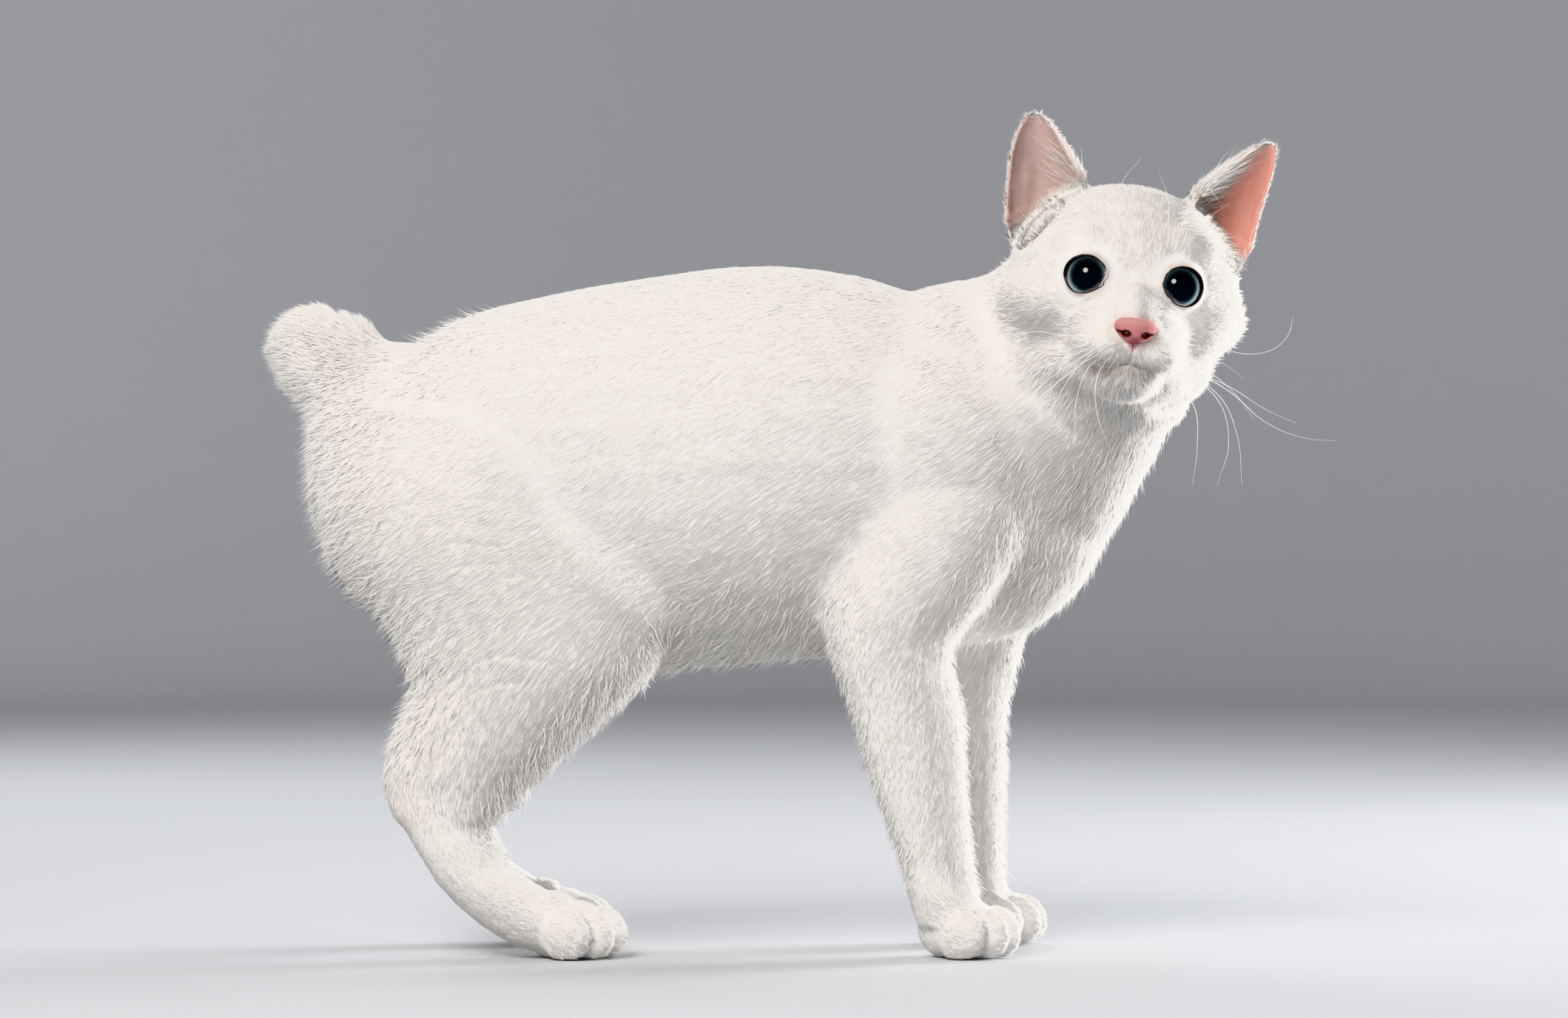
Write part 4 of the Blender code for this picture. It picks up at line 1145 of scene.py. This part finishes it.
def buildLips():
    fine = np.linspace(0, len(mouthLine) - 1, 25)
    xs = np.interp(fine, range(len(mouthLine)), [x for x, z in mouthLine])
    zs = np.interp(fine, range(len(mouthLine)), [z for x, z in mouthLine])
    mouth = [onFace(x, z) + headY * 0.00005 for x, z in zip(xs, zs)]
    mouthRadii = [0.35 + 0.65 * math.sin(math.pi * min(1, (i + 2) / 27)) for i in range(len(mouth))]
    groove = [onFace(0.0, z) + headY * 0.00010 for z in np.linspace(-0.0232, -0.0306, 8)]
    grooveRadii = [1.0, 0.9, 0.8, 0.8, 0.7, 0.7, 0.7, 0.8]
    obj = strandPiece("lips", [(mouth, mouthRadii), (groove, grooveRadii)], 0.00028, 3, 4)
    h = inHead(pointsOf(obj.data))
    # dark along the mouth line and the cleft: partly the lips' own colour, partly painted shade in these
    # creases
    tints = rowsOf((0.26, 0.18, 0.15), len(h))
    tints = mixIn(tints, (0.34, 0.12, 0.12), ramp(h[:, 2], -0.0300, -0.0250))
    saveTint(obj.data, tints)
    finishPiece(obj, lipSkin, "nose_leather")


buildNose(noseSettings)
buildLips()
print("nose and lips")


# whiskers and brow hairs: root on the face, then the places it passes, in millimetres in the head's axes
whiskers = (
    ((14, -24), (32.5, -44, -22), (48.8, -42, -20.8), (57, -40, -14.0), (58.5, -39, -6.0)),
    ((16, -28), (37, -48, -36.5), (52, -48, -46.2), (66.7, -46, -50.0), (78.5, -44, -49.6)),
    ((15, -29), (37, -49, -35), (51.3, -49, -41.6), (63, -47, -45.1)),
    ((14, -31), (31.8, -46, -38.2), (39.4, -46, -53.7), (37.5, -45, -71.2)),
    ((13, -30), (32.6, -50, -38.1), (41.6, -50, -51.8), (45.8, -50, -70.2)),
    ((11, -32), (24.2, -52, -43.3), (27.5, -51, -56.8), (27.8, -50, -72.4)),
    ((12, -27), (26, -54, -30), (38, -54, -37), (47, -52, -46)),
    ((10, -25), (22, -53, -26), (33, -52, -27), (41, -50, -31)),
    ((-13, -27), (-20.8, -54, -33.2), (-29.5, -52, -40.6), (-35.8, -50, -49.5)),
    ((-14, -29), (-19.5, -53, -35.2), (-24.8, -53, -45.4), (-28.7, -52, -58.3)),
    ((-12, -31), (-16.3, -53, -36.2), (-18.4, -53, -46.0), (-17.4, -52, -61.0)),
    ((-9, -32), (-12.3, -54, -39.8), (-10.5, -53, -50.5), (-4.7, -52, -62.4)),
    ((-15, -25), (-26.7, -52, -30.1), (-37.4, -48, -32.0), (-46.2, -44, -38.5)),
    ((-14, -23), (-25, -51, -24), (-37, -46, -24), (-48, -41, -28)),
    ((-12, -29), (-22, -55, -37), (-33, -53, -50), (-40, -51, -64)),
    ((-15, -27), (-27, -51, -34), (-40, -47, -41), (-51, -43, -52)),
)
browHairs = (
    ((13, 12.5), (14.5, -34, 22), (18, -33, 33), (23, -30, 42)),
    ((10.5, 12.0), (9.5, -34, 22), (8, -33, 32), (4, -31, 41)),
    ((16, 11.5), (19, -32, 18), (25, -31, 27), (32, -29, 33)),
    ((-13, 12.5), (-12, -35, 24), (-9, -34, 36), (-3, -31, 45)),
    ((-16, 12.0), (-19, -33, 20), (-22, -32, 30), (-24, -29, 38)),
    ((-10, 12.0), (-7, -35, 21), (-5, -35, 30), (-5, -33, 37)),
)


whisker = speckledMaterial("whisker", {"specks": 220, "dark": (0.80, 0.79, 0.77),
                                       "light": (0.93, 0.92, 0.91), "roughness": 0.30, "sheen": 0.2})


def whiskerRows(table):
    rows = []
    for (x, z), *places in table:
        root = onFace(x / 1000, z / 1000)
        points = [root + headY * 0.0012, root] + [outOfHead(np.array(place) / 1000) for place in places]
        taper = np.linspace(1.0, 0.18, len(points))
        rows.append((points, taper.tolist()))
    return rows


for name, table, thick in (("whiskers", whiskers, 0.00019), ("browHairs", browHairs, 0.00012)):
    hairs = strandPiece(name, whiskerRows(table), thick, 1, 8)
    finishPiece(hairs, whisker, "fur")
print("whiskers")


# floor, lights and camera
studio = {"floor": (0.56, 0.575, 0.60), "flat": 2.6, "curve": 0.8, "high": 2.4,
          "world": (0.93, 0.93, 0.95), "worldStrength": 0.50}


def buildFloor(s):
    # a shallow bowl: level in the middle, curved up all round
    rows = [(0.0, 0.0), (0.6, 0.0), (1.5, 0.0), (s["flat"], 0.0)]
    for step in range(1, 11):
        turn = math.radians(90 * step / 10)
        rows.append((s["flat"] + s["curve"] * math.sin(turn), s["curve"] * (1 - math.cos(turn))))
    rows.append((s["flat"] + s["curve"], s["high"]))
    mesh = bpy.data.meshes.new("studioFloor")
    mesh.from_pydata([(x, 0, z) for x, z in rows], [(i, i + 1) for i in range(len(rows) - 1)], [])
    obj = newObject("studioFloor", mesh)
    whole = {"steps": 72, "angle": 2 * math.pi, "center": (0, 0, 0), "axis": (0, 0, 1)}
    editMesh(obj, (bpy.ops.mesh.spin, whole), (bpy.ops.mesh.remove_doubles, {"threshold": 0.0001}),
             (bpy.ops.mesh.normals_make_consistent, {"inside": True}))
    mesh.shade_smooth()
    material, tree, shader = newMaterial("paper")
    setInputs(tree, shader, {"Base Color": (*s["floor"], 1), "Roughness": 0.85})
    mesh.materials.append(material)
    obj.visible_glossy = False  # so that the eyes mirror no floor


def addLight(name, place, target, size, power, colour=(1, 1, 1), shape="SQUARE", glossy=False):
    data = bpy.data.lights.new(name, "AREA")
    data.shape = shape
    data.size = size
    data.energy = power
    data.color = colour
    lamp = newObject(name, data)
    lamp.visible_glossy = glossy
    lamp.matrix_world = Matrix.Translation(place) @ facing(Vector(place) - Vector(target))


buildFloor(studio)
addLight("key", (-0.8, -1.6, 1.5), (0, 0, 0.18), 1.2, 44, (1.0, 0.955, 0.905))
addLight("catchLight", (-0.38, -1.9, 1.0), (0.13, -0.05, 0.25), 0.70, 9, shape="DISK", glossy=True)
addLight("rimLow", (1.19, 0.47, 0.08), (0.08, 0, 0.14), 0.34, 54, (1.0, 0.99, 0.98))
addLight("rimHigh", (1.1, 0.9, 0.9), (0.08, 0, 0.2), 0.5, 8)
addLight("back", (-0.7, 1.3, 1.2), (0, 0, 0.2), 1.0, 12)
bpy.context.scene.view_settings.view_transform = "Khronos PBR Neutral"

world = bpy.data.worlds.new("studio")
world.use_nodes = True
setInputs(world.node_tree, world.node_tree.nodes["Background"],
          {"Color": (*studio["world"], 1), "Strength": studio["worldStrength"]})
world.cycles_visibility.glossy = False
bpy.context.scene.world = world

cameraData = bpy.data.cameras.new("photoView")
cameraData.lens = camera["lens"]
cameraData.sensor_width = camera["sensor"]
cameraData.dof.use_dof = False
cameraObject = newObject("photoView", cameraData)
cameraObject.location = camera["place"]
cameraObject.rotation_euler = (math.radians(90), 0, 0)
bpy.context.scene.camera = cameraObject
print("stage set")
